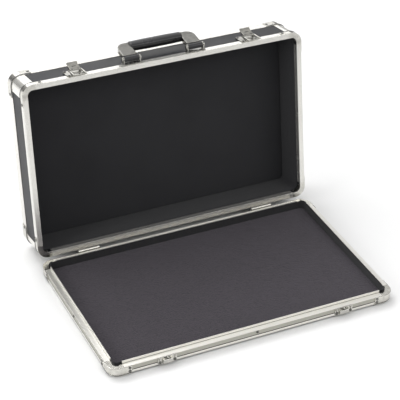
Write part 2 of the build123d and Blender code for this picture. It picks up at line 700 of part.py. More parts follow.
def tray_nodes():
    """Every piece of the tray, by node name."""
    nodes = {
        "tray_bottom_panel": tray_bottom_panel(),
        "tray_carpet": tray_carpet(),
        "tray_wall_boards": tray_wall_boards(),
        "tray_wall_lining": tray_wall_lining(),
        "tray_rivets": tray_rivets(),
    }
    catch_screws = hardware_screws(LATCH_SPACING, (-14.0, 14.0), (9.5,), HARDWARE_STEEL)
    hinge_screws = leaf_screws(TRAY_HEIGHT - LEAF_GAP - LEAF_HEIGHT + LEAF_SCREW_INSET)
    nodes["tray_screws"] = Compound(middle_screws(TRAY_HEIGHT - 4.0) + catch_screws + hinge_screws)
    for side in INWARD:
        nodes[f"tray_frame_{side}"] = tray_frame(side)
    for corner in CORNERS:
        nodes[f"tray_corner_{corner}"] = tray_corner(corner)
    for name, side in SIDES.items():
        nodes[f"catch_{name}"] = catch(side * LATCH_SPACING / 2)
        nodes[f"hinge_leaf_lower_{name}"] = hinge_leaf_lower(side * HINGE_SPACING / 2)
    return nodes


def lid_nodes():
    """Every piece of the lid and of what it carries, by node name, drawn closed."""
    latch_screws = hardware_screws(LATCH_SPACING, (-14.0, 14.0), (27.5, 51.0), HARDWARE_STEEL)
    bracket_screws = hardware_screws(HANDLE_SPACING, (-8.0, 8.0), (27.2,), HARDWARE_STEEL)
    leaf_row = leaf_screws(TRAY_HEIGHT + LEAF_GAP + LEAF_HEIGHT - LEAF_SCREW_INSET)
    nodes = {
        "lid_top_panel": lid_top_panel(),
        "lid_uprights": lid_uprights(),
        "lid_rim_corners": lid_rim_corners(),
        "lid_foam": lid_foam(),
        "lid_wall_lining": lid_wall_lining(),
        "lid_rivets": lid_rivets(),
        "lid_screws": Compound(flange_screws() + latch_screws + bracket_screws + leaf_row),
        "handle_arms": handle_arms(),
        "handle_bushes": handle_bushes(),
        "handle_grip": handle_grip(),
    }
    for side in INWARD:
        nodes[f"lid_wall_{side}"] = lid_wall(side)
        nodes[f"lid_rim_{side}"] = lid_rim(side)
        nodes[f"lid_edge_{side}"] = lid_edge(side)
    for corner in CORNERS:
        nodes[f"lid_corner_{corner}"] = lid_corner(corner)
    for name, side in SIDES.items():
        nodes[f"hinge_leaf_upper_{name}"] = hinge_leaf_upper(side * HINGE_SPACING / 2)
        nodes[f"latch_base_{name}"] = latch_base(side * LATCH_SPACING / 2)
        nodes[f"latch_lever_{name}"] = latch_lever(side * LATCH_SPACING / 2)
        nodes[f"latch_bail_{name}"] = latch_bail(side * LATCH_SPACING / 2)
        nodes[f"handle_bracket_{name}"] = handle_bracket(side * HANDLE_SPACING / 2)
    nodes["latch_pins"] = Compound([latch_pin(side * LATCH_SPACING / 2) for side in SIDES.values()])
    nodes["handle_pins"] = Compound([handle_pin(side * HANDLE_SPACING / 2) for side in SIDES.values()])
    return nodes


def main():
    """Builds every piece and writes each one to its own file."""
    os.makedirs("parts", exist_ok=True)
    nodes = tray_nodes()
    for name, side in SIDES.items():
        nodes[f"hinge_pin_{name}"] = hinge_pin(side * HINGE_SPACING / 2)
    for name, shape in lid_nodes().items():
        nodes[name] = open_lid(shape)
    for name, shape in nodes.items():
        export_step(shape, f"parts/{name}.step")


if __name__ == "__main__":
    main()
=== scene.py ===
"""The open guitar pedal case: its finishes, its soft linings, its fine fittings, a studio and a camera.

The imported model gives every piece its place. This script dresses those pieces, models the carpet, felt, foam,
moulded grip, rolled edges and lever rivets, and sets up the floor, lights and camera. Lengths are in metres.
"""
import json
import logging
import math
from collections.abc import Iterable
from dataclasses import dataclass, field
from enum import Enum

import bpy
from mathutils import Euler, Matrix, Vector, noise


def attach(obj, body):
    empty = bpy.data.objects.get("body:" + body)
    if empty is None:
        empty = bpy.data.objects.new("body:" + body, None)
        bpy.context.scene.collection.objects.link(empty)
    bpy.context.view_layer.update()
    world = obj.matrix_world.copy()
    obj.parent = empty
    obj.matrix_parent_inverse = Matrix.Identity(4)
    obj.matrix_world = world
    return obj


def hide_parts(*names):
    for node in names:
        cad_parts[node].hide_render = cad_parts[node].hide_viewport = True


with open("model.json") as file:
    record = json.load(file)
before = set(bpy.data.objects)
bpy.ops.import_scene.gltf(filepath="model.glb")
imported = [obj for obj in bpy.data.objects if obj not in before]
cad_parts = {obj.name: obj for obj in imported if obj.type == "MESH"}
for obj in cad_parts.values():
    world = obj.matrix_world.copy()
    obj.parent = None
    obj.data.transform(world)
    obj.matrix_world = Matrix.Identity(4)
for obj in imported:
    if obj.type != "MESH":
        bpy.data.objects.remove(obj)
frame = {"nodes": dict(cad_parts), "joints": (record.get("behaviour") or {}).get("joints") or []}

LOG = logging.getLogger("pedal_case")
MM = 0.001

# The part of a noise field's range that most of it lies in, and the part that only its peaks reach.
MIDDLE = (0.3, 0.7)
PEAKS = (0.72, 0.80)

CORNERS = ("front_left", "front_right", "back_right", "back_left")

Pair = tuple[float, float]
Triple = tuple[float, float, float]
Tone = tuple[float, float, float]
Band = tuple[float, float, Tone]
Plane = tuple[float, float, float, float]
Socket = bpy.types.NodeSocket
Material = bpy.types.Material
Piece = bpy.types.Object


# ------------------------------ places


@dataclass(frozen=True)
class CaseSizes:
    """The case's driving sizes, and the way from its closed place to its open one.

    A point of the closed case is given by x, y and z, or by an inset from the outer face and a height.
    """

    length: float = 560 * MM
    width: float = 340 * MM
    corner_radius: float = 20 * MM
    base_board_top: float = 6.5 * MM
    tongue_inner: float = 11.5 * MM
    tray_lining_face: float = 12.5 * MM
    tray_lining_top: float = 25 * MM
    carpet_top: float = 9 * MM
    lid_board_inner: float = 8.2 * MM
    lid_lining_face: float = 10.2 * MM
    lid_lining_foot: float = 33.5 * MM
    panel_underside: float = 99.8 * MM
    foam_thickness: float = 6 * MM
    foam_inset: float = 10.5 * MM

    def hinge(self) -> dict:
        """The lid's hinge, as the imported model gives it."""
        return next(joint for joint in frame["joints"] if joint["name"] == "lid_hinge")

    def opened(self) -> Matrix:
        """The turn about the hinge that carries a point of the closed lid to its open place.

        Returns:
            The turn, for points in metres.
        """
        joint = self.hinge()
        pivot = Vector(joint["pos_m"])
        turn = Matrix.Rotation(math.radians(min(joint["range_deg"])), 4, "X")
        return Matrix.Translation(pivot) @ turn @ Matrix.Translation(-pivot)

    def corner_arc(self, quarter: int, inset: float, steps: int) -> list[Vector]:
        """The round of one corner of the plan.

        Args:
            quarter: Which corner, counted round the plan from the one at the back right.
            inset: How far the arc lies inside the outer face.
            steps: Steps round the corner.

        Returns:
            The arc's points in order, with z at 0.
        """
        right, back = quarter % 4 in (0, 3), quarter % 4 in (0, 1)
        middle_x, middle_y = self.length / 2 - self.corner_radius, self.width / 2 - self.corner_radius
        centre = Vector((middle_x if right else -middle_x, middle_y if back else -middle_y, 0))
        points = []
        for step in range(steps + 1):
            angle = math.radians(90 * (quarter + step / steps))
            reach = Vector((math.cos(angle), math.sin(angle), 0)) * (self.corner_radius - inset)
            points.append(centre + reach)
        return points

    def outline(self, inset: float, arc_steps: int = 8, edge_steps: int = 24) -> list[Vector]:
        """The case's round-cornered plan outline at an inset from its outer face.

        Args:
            inset: How far the outline lies inside the outer face.
            arc_steps: Steps round each corner.
            edge_steps: Steps along each straight edge.

        Returns:
            The outline's points in order, with z at 0.
        """
        points: list[Vector] = []
        for quarter in range(4):
            points += self.corner_arc(quarter, inset, arc_steps)
            start, target = points[-1], self.corner_arc(quarter + 1, inset, arc_steps)[0]
            points += [start.lerp(target, step / edge_steps) for step in range(1, edge_steps)]
        return points

    def corner_path(self, quarter: int, inset: float, leg: float, steps: int = 10) -> list[Vector]:
        """The way round one corner of the plan, with a straight leg before and after it.

        Args:
            quarter: Which corner, counted round the plan from the one at the back right.
            inset: How far the way lies inside the outer face.
            leg: The length of each straight leg.
            steps: Steps round the corner.

        Returns:
            The points in order, with z at 0.
        """
        arc = self.corner_arc(quarter, inset, steps)
        start, end = math.radians(90 * quarter), math.radians(90 * (quarter + 1))
        before = arc[0] + Vector((math.sin(start), -math.cos(start), 0)) * leg
        after = arc[-1] + Vector((-math.sin(end), math.cos(end), 0)) * leg
        return [before, *arc, after]


SIZES = CaseSizes()


def circle(around: int) -> list[Pair]:
    """The cosine and sine of even steps round a circle."""
    angles = [2 * math.pi * turn / around for turn in range(around)]
    return [(math.cos(angle), math.sin(angle)) for angle in angles]


class MeshMaker:
    """Collects points and faces, and turns them into an object of the scene."""

    def __init__(self, name: str) -> None:
        """Starts an empty mesh.

        Args:
            name: The object's name.
        """
        self.name = name
        self.points: list[Vector] = []
        self.faces: list[tuple[int, ...]] = []

    def loop(self, points: Iterable[Vector]) -> list[int]:
        """Adds a row of points.

        Args:
            points: The row's points, in order.

        Returns:
            The points' numbers.
        """
        start = len(self.points)
        self.points.extend(Vector(point) for point in points)
        return list(range(start, len(self.points)))

    def band(self, first: list[int], second: list[int], closed: bool = True) -> None:
        """Joins two rows of the same length with quads.

        Args:
            first: The numbers of one row.
            second: The numbers of the row beside it.
            closed: Whether each row joins up with its own start.
        """
        count = len(first)
        for step in range(count if closed else count - 1):
            after = (step + 1) % count
            self.faces.append((first[step], first[after], second[after], second[step]))

    def skin(self, rows: list[list[int]], closed: bool = True) -> None:
        """Joins each row of points to the next."""
        for first, second in zip(rows, rows[1:]):
            self.band(first, second, closed)

    def cap(self, row: list[int], flip: bool = False) -> None:
        """Closes a row with one face."""
        self.faces.append(tuple(reversed(row)) if flip else tuple(row))

    def turn_over(self) -> None:
        """Makes every face look the other way."""
        self.faces = [tuple(reversed(face)) for face in self.faces]

    def make(self, transform: Matrix | None = None, smooth: float | None = 40) -> Piece:
        """Builds the object.

        Args:
            transform: Where the points are carried before the object is made.
            smooth: The largest angle in degrees that is shaded smooth, or None for flat faces.

        Returns:
            The new object, linked to the scene.
        """
        mesh = bpy.data.meshes.new(self.name)
        carried = [transform @ point for point in self.points] if transform else self.points
        mesh.from_pydata(carried, [], self.faces)
        mesh.validate()
        mesh.update()
        if smooth is not None:
            mesh.shade_smooth()
            mesh.set_sharp_from_angle(angle=math.radians(smooth))
        piece = bpy.data.objects.new(self.name, mesh)
        bpy.context.scene.collection.objects.link(piece)
        return piece


# ------------------------------ finishes


class Grain(Enum):
    """The way in which a drawn or brushed metal's lines run, as a turn from running along X."""

    ALONG_LENGTH = (0.0, 0.0, 0.0)
    ALONG_TRAY_SIDE = (0.0, 0.0, 90.0)
    ALONG_LID_SIDE = (-10.0, 90.0, 0.0)
    ALONG_LID_DEPTH = (-10.0, 0.0, 90.0)


class ShaderGraph:
    """A material's nodes, with short calls for what the finishes share."""

    CREVICE_SAMPLES = 12
    EDGE_SAMPLES = 6
    # How open a point must be for the painted crevice shade to fade out, from full shade to none.
    PAINTED_SHADE_SPAN = (0.2, 0.6)

    def __init__(self, name: str) -> None:
        """Starts a material that holds one principled shader.

        Args:
            name: The material's name.
        """
        self.material = bpy.data.materials.new(name)
        self.material.use_nodes = True
        self.tree = self.material.node_tree
        self.shader = self.tree.nodes["Principled BSDF"]

    def node(self, kind: str, **settings: object) -> bpy.types.Node:
        """Adds a node and sets its properties or inputs by name.

        Args:
            kind: Blender's name for the kind of node.
            settings: Values for its properties or inputs.

        Returns:
            The node.
        """
        made = self.tree.nodes.new(kind)
        for key, value in settings.items():
            label = key.replace("_", " ").title()
            if hasattr(made, key):
                setattr(made, key, value)
            else:
                made.inputs[label].default_value = value
        return made

    def link(self, source: Socket, target: Socket) -> None:
        """Joins two sockets."""
        self.tree.links.new(source, target)

    def place(self, scale: Triple = (1, 1, 1), turn: Triple = (0, 0, 0)) -> Socket:
        """The piece's own coordinates, turned in degrees and then scaled.

        Args:
            scale: How much each axis is multiplied by.
            turn: The turn about each axis, in degrees.

        Returns:
            The coordinates.
        """
        own = self.node("ShaderNodeTexCoord").outputs["Object"]
        turned = self.node("ShaderNodeMapping")
        turned.inputs["Rotation"].default_value = Euler([math.radians(angle) for angle in turn])
        self.link(own, turned.inputs["Vector"])
        scaled = self.node("ShaderNodeMapping")
        scaled.inputs["Scale"].default_value = scale
        self.link(turned.outputs["Vector"], scaled.inputs["Vector"])
        return scaled.outputs["Vector"]

    def noise(self, scale: float, detail: float, rough: float = 0.55, place: Socket | None = None) -> Socket:
        """A noise field from 0 to 1, in the piece's own coordinates or in others that are given.

        Args:
            scale: How many lumps there are to a metre.
            detail: How many finer layers it has.
            rough: How strong the finer layers are.
            place: The coordinates, or None for the piece's own.

        Returns:
            The field.
        """
        made = self.node("ShaderNodeTexNoise", scale=scale, detail=detail, roughness=rough)
        self.link(self.place() if place is None else place, made.inputs["Vector"])
        return made.outputs["Fac"]

    def cells(self, scale: float, feature: str = "SMOOTH_F1") -> Socket:
        """A field of rounded cells: the distance from each cell's middle.

        Args:
            scale: How many cells there are to a metre.
            feature: Blender's name for the distance that is taken.

        Returns:
            The field.
        """
        made = self.node("ShaderNodeTexVoronoi", feature=feature, scale=scale)
        self.link(self.place(), made.inputs["Vector"])
        return made.outputs["Distance"]

    def remap(self, value: Socket, span: Pair, to: Pair = (0, 1)) -> Socket:
        """A value carried from one range to another, and held inside it.

        Args:
            value: The value.
            span: The range that it comes from.
            to: The range that it goes to.

        Returns:
            The carried value.
        """
        made = self.node("ShaderNodeMapRange", clamp=True)
        for name, number in zip(("From Min", "From Max", "To Min", "To Max"), (*span, *to)):
            made.inputs[name].default_value = number
        self.link(value, made.inputs["Value"])
        return made.outputs["Result"]

    def varied(self, base: object, varying: Socket, span: Pair, swing: Pair) -> Socket:
        """A value or number, with a swing on top that follows a field."""
        return self.math("ADD", self.remap(varying, span, swing), base)

    def math(self, operation: str, first: Socket, second: object) -> Socket:
        """Arithmetic on a value and a second value or number.

        Args:
            operation: Blender's name for the operation.
            first: The value.
            second: Another value, or a number.

        Returns:
            The result.
        """
        made = self.node("ShaderNodeMath", operation=operation)
        self.link(first, made.inputs[0])
        if isinstance(second, Socket):
            self.link(second, made.inputs[1])
        else:
            made.inputs[1].default_value = second
        return made.outputs["Value"]

    def blend(self, factor: Socket, first: object, second: object) -> Socket:
        """A colour between two others by a factor, each a plain colour or another node's output.

        Args:
            factor: How far it goes from the first colour to the second.
            first: The colour at 0.
            second: The colour at 1.

        Returns:
            The mixed colour.
        """
        made = self.node("ShaderNodeMix", data_type="RGBA")
        for colour, socket in ((first, made.inputs[6]), (second, made.inputs[7])):
            if isinstance(colour, Socket):
                self.link(colour, socket)
            else:
                socket.default_value = (*colour, 1)
        self.link(factor, made.inputs["Factor"])
        return made.outputs[2]

    def openness(self, reach: float) -> Socket:
        """How open the space round a point is, from 0 in a crevice to 1 on an open face."""
        samples = self.CREVICE_SAMPLES
        return self.node("ShaderNodeAmbientOcclusion", samples=samples, distance=reach).outputs["AO"]

    def painted_crevice_shade(self, colour: Socket, shade_colour: Tone, reach: float) -> Socket:
        """A colour with painted shade: it darkens to a dark tone in joints, in grooves and round fastener
        heads.
        """
        return self.blend(self.remap(self.openness(reach), self.PAINTED_SHADE_SPAN), shade_colour, colour)

    def between(self, measure: Plane, limits: Pair, ease: float) -> Socket:
        """A mask that is 1 between two parallel planes in the piece's own coordinates, and 0 outside them.

        Args:
            measure: The planes' normal, and what is added to the distance along it.
            limits: The distances of the first and the second plane.
            ease: How far to each side of a plane the mask takes to change.

        Returns:
            The mask.
        """
        along = self.node("ShaderNodeVectorMath", operation="DOT_PRODUCT")
        self.link(self.node("ShaderNodeTexCoord").outputs["Object"], along.inputs[0])
        along.inputs[1].default_value = measure[:3]
        distance = self.math("ADD", along.outputs["Value"], measure[3])
        first, second = ((limit - ease, limit + ease) for limit in limits)
        past_first, short_of_second = self.remap(distance, first), self.remap(distance, second, (1, 0))
        return self.math("MULTIPLY", past_first, short_of_second)

    def relief(self, height: Socket, distance: float, strength: float, edge_radius: float = 0.0) -> Socket:
        """A normal that stands for small relief, and that rounds sharp edges where a radius is given.

        Args:
            height: The relief, as a field.
            distance: The relief's height where the field is 1.
            strength: How much of it shows.
            edge_radius: The radius of the edges, or 0 to leave them sharp.

        Returns:
            The normal.
        """
        made = self.node("ShaderNodeBump", strength=strength, distance=distance)
        self.link(height, made.inputs["Height"])
        if edge_radius:
            eased = self.node("ShaderNodeBevel", samples=self.EDGE_SAMPLES, radius=edge_radius)
            self.link(eased.outputs["Normal"], made.inputs["Normal"])
        return made.outputs["Normal"]

    def surface(self, **inputs: object) -> Material:
        """Sets the shader's own sockets, and gives the material.

        Args:
            inputs: The sockets' names, each with a number, a colour or another node's output.

        Returns:
            The finished material.
        """
        for key, value in inputs.items():
            socket = self.shader.inputs[key.replace("_", " ")]
            if isinstance(value, Socket):
                self.link(value, socket)
            else:
                socket.default_value = value
        return self.material


class Finish:
    """A finish that makes its material once and puts it on pieces."""

    _made: dict[object, Material] = {}

    def build(self) -> Material:
        """Makes the material."""
        raise NotImplementedError

    def material(self) -> Material:
        """The finish's material, made the first time that it is asked for.

        Returns:
            The material.
        """
        if self not in Finish._made:
            Finish._made[self] = self.build()
        return Finish._made[self]

    def dress(self, piece: Piece) -> Piece:
        """Gives a piece this finish all over.

        Args:
            piece: The piece.

        Returns:
            The same piece.
        """
        if piece.material_slots:
            for slot in piece.material_slots:
                slot.material = self.material()
        else:
            piece.data.materials.append(self.material())
        return piece


@dataclass(frozen=True)
class DrawnAluminium(Finish):
    """Satin anodised extrusion with fine lines along it, rubbed duller in patches.

    Each band is two distances by the finish's measure, and the tone painted on the metal between them:
    painted light where it is brighter than the metal, and painted shade where it is darker.
    Each crease is two distances too, and is painted dark as shade.
    """

    grain: Grain
    name: str = "extrusion"
    measure: Plane = (0, 0, 1, 0)
    painted_bands: tuple[Band, ...] = ()
    painted_shade_lines: tuple[Pair, ...] = ()
    tone: Tone = (0.84, 0.825, 0.78)
    dull_tone: Tone = (0.79, 0.775, 0.73)
    painted_shade_tone: Tone = (0.02, 0.019, 0.017)
    lines_per_metre: float = 2400.0
    patches_per_metre: float = 14.0
    scratches_per_metre: float = 900.0
    wear: float = 0.7
    roughness: float = 0.25
    band_roughness: float = 0.1
    metal_share: float = 0.82
    line_height: float = 0.01 * MM
    edge_radius: float = 0.6 * MM
    band_ease: float = 0.2 * MM
    crease_ease: float = 0.1 * MM
    crevice: float = 1.2 * MM

    def build(self) -> Material:
        """Stretches noise along the extrusion for its lines, adds soft patches and a few scratches, and paints
        the light and shade of each face, the dark shade lines and the shade in crevices.

        Returns:
            The material.
        """
        graph = ShaderGraph(f"drawn_aluminium_{self.grain.name.lower()}_{self.name}")
        stretched = graph.place(scale=(0.02, 1, 1), turn=self.grain.value)
        lines = graph.noise(self.lines_per_metre, detail=6, rough=0.6, place=stretched)
        patches = graph.noise(self.patches_per_metre, detail=5, rough=0.6)
        longer = graph.place(scale=(0.012, 1, 1), turn=self.grain.value)
        scratches = graph.remap(graph.noise(self.scratches_per_metre, detail=2, place=longer), PEAKS)
        rough = graph.varied(self.roughness, lines, MIDDLE, (-0.02, 0.02))
        rough = graph.varied(rough, patches, (0.35, 0.7), (-0.01, 0.02))
        depth = graph.math("SUBTRACT", graph.math("MULTIPLY", lines, 0.6), scratches)
        normal = graph.relief(depth, self.line_height, 0.08, self.edge_radius)
        worn = graph.remap(patches, (0.45, 0.7), (0, self.wear))
        colour = graph.blend(worn, self.tone, self.dull_tone)
        # Painted light and shade: each band paints its own tone on one face, lighter or darker than the metal.
        for near, far, painted_band_tone in self.painted_bands:
            inside = graph.between(self.measure, (near, far), self.band_ease)
            colour = graph.blend(inside, colour, painted_band_tone)
            rough = graph.math("ADD", rough, graph.math("MULTIPLY", inside, self.band_roughness))
        # Painted shade: each line is darkened to the shade tone, as a shaded groove or edge.
        for crease in self.painted_shade_lines:
            inside = graph.between(self.measure, crease, self.crease_ease)
            colour = graph.blend(inside, colour, self.painted_shade_tone)
        # Painted shade: the colour darkens where ambient occlusion finds grooves, joints and fastener heads.
        colour = graph.painted_crevice_shade(colour, self.painted_shade_tone, self.crevice)
        return graph.surface(Base_Color=colour, Metallic=self.metal_share, Roughness=rough, Normal=normal)


@dataclass(frozen=True)
class PressedSteel(Finish):
    """Plated sheet steel of the corner pieces: a mottled sheen, greyer than the aluminium."""

    tone: Tone = (0.72, 0.705, 0.655)
    dark_tone: Tone = (0.54, 0.53, 0.49)
    painted_shade_tone: Tone = (0.04, 0.038, 0.034)
    mottles_per_metre: float = 90.0
    dents_per_metre: float = 260.0
    dent_depth: float = 0.1 * MM
    roughness: float = 0.20
    edge_radius: float = 0.5 * MM
    crevice: float = 2 * MM

    def build(self) -> Material:
        """Mottles the plating, dents it very slightly and paints shade into its crevices.

        Returns:
            The material.
        """
        graph = ShaderGraph("pressed_steel")
        mottle = graph.noise(self.mottles_per_metre, detail=6, rough=0.65)
        dents = graph.noise(self.dents_per_metre, detail=2)
        rough = graph.varied(self.roughness, mottle, (0.35, 0.65), (-0.06, 0.08))
        normal = graph.relief(dents, self.dent_depth, 0.15, self.edge_radius)
        colour = graph.blend(graph.remap(mottle, (0.4, 0.7)), self.tone, self.dark_tone)
        # Painted shade: the colour darkens where ambient occlusion finds crevices, joints and rivets.
        colour = graph.painted_crevice_shade(colour, self.painted_shade_tone, self.crevice)
        return graph.surface(Base_Color=colour, Metallic=1.0, Roughness=rough, Normal=normal)


@dataclass(frozen=True)
class BrightPlate(Finish):
    """Nickel plate of the latches, hinges, handle and fasteners."""

    name: str = "bright_plate"
    tone: Tone = (0.58, 0.57, 0.53)
    smudge_tone: Tone = (0.40, 0.395, 0.37)
    painted_shade_tone: Tone = (0.03, 0.029, 0.027)
    smudges_per_metre: float = 55.0
    rubs_per_metre: float = 700.0
    rub_depth: float = 0.03 * MM
    roughness: float = 0.11
    edge_radius: float = 0.4 * MM
    crevice: float = 2 * MM

    def build(self) -> Material:
        """Leaves faint smudges and rub marks in a near mirror, and paints shade into its crevices.

        Returns:
            The material.
        """
        graph = ShaderGraph(self.name)
        smudges = graph.noise(self.smudges_per_metre, detail=6, rough=0.6)
        rubbed = graph.place(scale=(1, 0.15, 0.4), turn=(20, 35, 10))
        rubs = graph.noise(self.rubs_per_metre, detail=3, place=rubbed)
        rough = graph.varied(self.roughness, smudges, (0.4, 0.7), (-0.03, 0.12))
        normal = graph.relief(rubs, self.rub_depth, 0.3, self.edge_radius)
        colour = graph.blend(graph.remap(smudges, (0.45, 0.75)), self.tone, self.smudge_tone)
        # Painted shade: the colour darkens where ambient occlusion finds crevices, joints and screw heads.
        colour = graph.painted_crevice_shade(colour, self.painted_shade_tone, self.crevice)
        return graph.surface(Base_Color=colour, Metallic=1.0, Roughness=rough, Normal=normal)


@dataclass(frozen=True)
class PebbledLaminate(Finish):
    """The black laminate of the boards, with a fine pebbled skin."""

    tone: Tone = (0.0085, 0.0088, 0.0115)
    light_tone: Tone = (0.017, 0.0175, 0.021)
    pebbles_per_metre: float = 850.0
    grit_per_metre: float = 2600.0
    haze_per_metre: float = 9.0
    pebble_height: float = 0.22 * MM
    roughness: float = 0.40
    edge_radius: float = 0.5 * MM

    def build(self) -> Material:
        """Raises round pebbles, with finer ones between them, varies their gloss, and paints each pebble
        lighter at its crown and darker at its foot, as painted light and shade.

        Returns:
            The material.
        """
        graph = ShaderGraph("pebbled_laminate")
        pebbles = graph.cells(self.pebbles_per_metre)
        grit = graph.noise(self.grit_per_metre, detail=3)
        haze = graph.noise(self.haze_per_metre, detail=4)
        height = graph.math("SUBTRACT", graph.math("MULTIPLY", grit, 0.3), pebbles)
        normal = graph.relief(height, self.pebble_height, 0.6, self.edge_radius)
        rough = graph.varied(self.roughness, haze, MIDDLE, (-0.03, 0.06))
        # Painted light and shade: each pebble is lighter at its crown and darker where it meets the next.
        colour = graph.blend(graph.remap(pebbles, (0.0, 0.6)), self.light_tone, self.tone)
        return graph.surface(Base_Color=colour, Roughness=rough, Normal=normal, Specular_IOR_Level=0.26)


@dataclass(frozen=True)
class LoopCarpet(Finish):
    """Charcoal carpet of short loops, faintly warm, with lint and crushed patches."""

    tone: Tone = (0.068, 0.061, 0.071)
    loop_gap_painted_shade: Tone = (0.021, 0.0185, 0.0225)
    lint_tone: Tone = (0.13, 0.125, 0.13)
    sheen_tone: Tone = (0.7, 0.66, 0.72)
    loops_per_metre: float = 520.0
    fibres_per_metre: float = 2400.0
    patches_per_metre: float = 9.0
    lint_per_metre: float = 900.0
    loop_height: float = 1.2 * MM

    def build(self) -> Material:
        """Gives each loop its own height and fibres across it, and paints shade between the loops, so that each
        loop is lighter at its crown.

        Returns:
            The material.
        """
        graph = ShaderGraph("loop_carpet")
        loops = graph.cells(self.loops_per_metre)
        fibres = graph.noise(self.fibres_per_metre, detail=5, rough=0.75)
        patches = graph.noise(self.patches_per_metre, detail=3, rough=0.5)
        strewn = graph.place(scale=(1, 0.35, 1), turn=(0, 0, 30))
        lint = graph.remap(graph.noise(self.lint_per_metre, detail=2, place=strewn), PEAKS)
        # Painted shade: each loop is lighter at its crown and darker towards the gaps between the loops.
        shade = graph.remap(loops, (0.0, 0.75), (0.75, 0.0))
        shade = graph.math("ADD", shade, graph.remap(fibres, MIDDLE, (-0.2, 0.35)))
        shade = graph.math("MULTIPLY", shade, graph.remap(patches, MIDDLE, (0.9, 1.1)))
        colour = graph.blend(shade, self.loop_gap_painted_shade, self.tone)
        height = graph.math("ADD", graph.math("MULTIPLY", loops, -1.0), graph.math("MULTIPLY", fibres, 0.5))
        return graph.surface(
            Base_Color=graph.blend(lint, colour, self.lint_tone),
            Roughness=0.95,
            Normal=graph.relief(height, self.loop_height, 0.9),
            Specular_IOR_Level=0.15,
            Sheen_Weight=0.25,
            Sheen_Roughness=0.6,
            Sheen_Tint=(*self.sheen_tone, 1),
        )


@dataclass(frozen=True)
class PressedFelt(Finish):
    """Thin black felt with a slight nap."""

    tone: Tone = (0.017, 0.0165, 0.018)
    light_tone: Tone = (0.042, 0.041, 0.044)
    fibres_per_metre: float = 1900.0
    nap_per_metre: float = 60.0
    nap_height: float = 0.5 * MM

    def build(self) -> Material:
        """Mats short fibres together.

        Returns:
            The material.
        """
        graph = ShaderGraph("pressed_felt")
        fibres = graph.noise(self.fibres_per_metre, detail=6, rough=0.75)
        nap = graph.noise(self.nap_per_metre, detail=4)
        shade = graph.math("MULTIPLY", graph.remap(fibres, (0.35, 0.7)), graph.remap(nap, MIDDLE, (0.5, 1)))
        return graph.surface(
            Base_Color=graph.blend(shade, self.tone, self.light_tone),
            Roughness=0.92,
            Normal=graph.relief(fibres, self.nap_height, 0.7),
            Specular_IOR_Level=0.2,
            Sheen_Weight=0.2,
        )


@dataclass(frozen=True)
class OpenCellFoam(Finish):
    """Charcoal foam with open pores of mixed size."""

    tone: Tone = (0.030, 0.030, 0.033)
    pore_painted_shade: Tone = (0.008, 0.008, 0.009)
    pores_per_metre: float = 1100.0
    coarse_share: float = 0.42
    patches_per_metre: float = 12.0
    pore_depth: float = 0.6 * MM

    def build(self) -> Material:
        """Sinks pores into the skin and paints shade into each of them, darkest at its middle.

        Returns:
            The material.
        """
        graph = ShaderGraph("open_cell_foam")
        fine = graph.cells(self.pores_per_metre, feature="F1")
        coarse = graph.cells(self.pores_per_metre * self.coarse_share, feature="F1")
        patches = graph.noise(self.patches_per_metre, detail=4)
        small, large = graph.remap(fine, (0.05, 0.5)), graph.remap(coarse, (0.05, 0.35), (0.35, 1))
        pores = graph.math("MULTIPLY", small, large)
        # Painted shade: the pores are darkest at their middles, where they sink deepest.
        shade = graph.math("MULTIPLY", pores, graph.remap(patches, MIDDLE, (0.85, 1.1)))
        return graph.surface(
            Base_Color=graph.blend(shade, self.pore_painted_shade, self.tone),
            Roughness=0.9,
            Normal=graph.relief(pores, self.pore_depth, 0.7),
            Specular_IOR_Level=0.25,
            Sheen_Weight=0.12,
        )


@dataclass(frozen=True)
class MouldedBlack(Finish):
    """Black moulded rubber or plastic with a fine spark-eroded grain."""

    name: str
    roughness: float
    grain_depth: float
    tone: Tone = (0.012, 0.012, 0.013)
    rubbed_tone: Tone = (0.026, 0.026, 0.028)
    grain_per_metre: float = 2200.0
    rubs_per_metre: float = 40.0
    edge_radius: float = 0.6 * MM

    def build(self) -> Material:
        """Etches a grain into the skin and polishes it where hands rub.

        Returns:
            The material.
        """
        graph = ShaderGraph(self.name)
        grain = graph.noise(self.grain_per_metre, detail=4, rough=0.7)
        rubbed = graph.noise(self.rubs_per_metre, detail=4)
        return graph.surface(
            Base_Color=graph.blend(graph.remap(rubbed, (0.4, 0.75)), self.tone, self.rubbed_tone),
            Roughness=graph.varied(self.roughness, rubbed, (0.35, 0.7), (0.06, -0.08)),
            Normal=graph.relief(grain, self.grain_depth, 0.6, self.edge_radius),
        )


@dataclass(frozen=True)
class StudioFloor(Finish):
    """The plain pale floor."""

    tone: Tone = (0.86, 0.86, 0.86)
    haze_per_metre: float = 3.0

    def build(self) -> Material:
        """Keeps the floor even, with a faint unevenness in its sheen.

        Returns:
            The material.
        """
        graph = ShaderGraph("studio_floor")
        haze = graph.noise(self.haze_per_metre, detail=2)
        rough = graph.remap(haze, MIDDLE, (0.75, 0.85))
        return graph.surface(Base_Color=(*self.tone, 1), Roughness=rough, Specular_IOR_Level=0.2)


PRESSED_STEEL = PressedSteel()
BRIGHT_PLATE = BrightPlate()
# A near-black plate for painted shade: the dark beads and slots that stand for shadow.
PAINTED_SHADE_PLATE = BrightPlate(
    "painted_shade_plate", tone=(0.05, 0.049, 0.046), smudge_tone=(0.03, 0.03, 0.028), roughness=0.45
)
FASTENER_PLATE = BrightPlate(
    "fastener_plate",
    tone=(0.20, 0.198, 0.185),
    smudge_tone=(0.10, 0.098, 0.092),
    roughness=0.20,
    edge_radius=0.6 * MM,
)
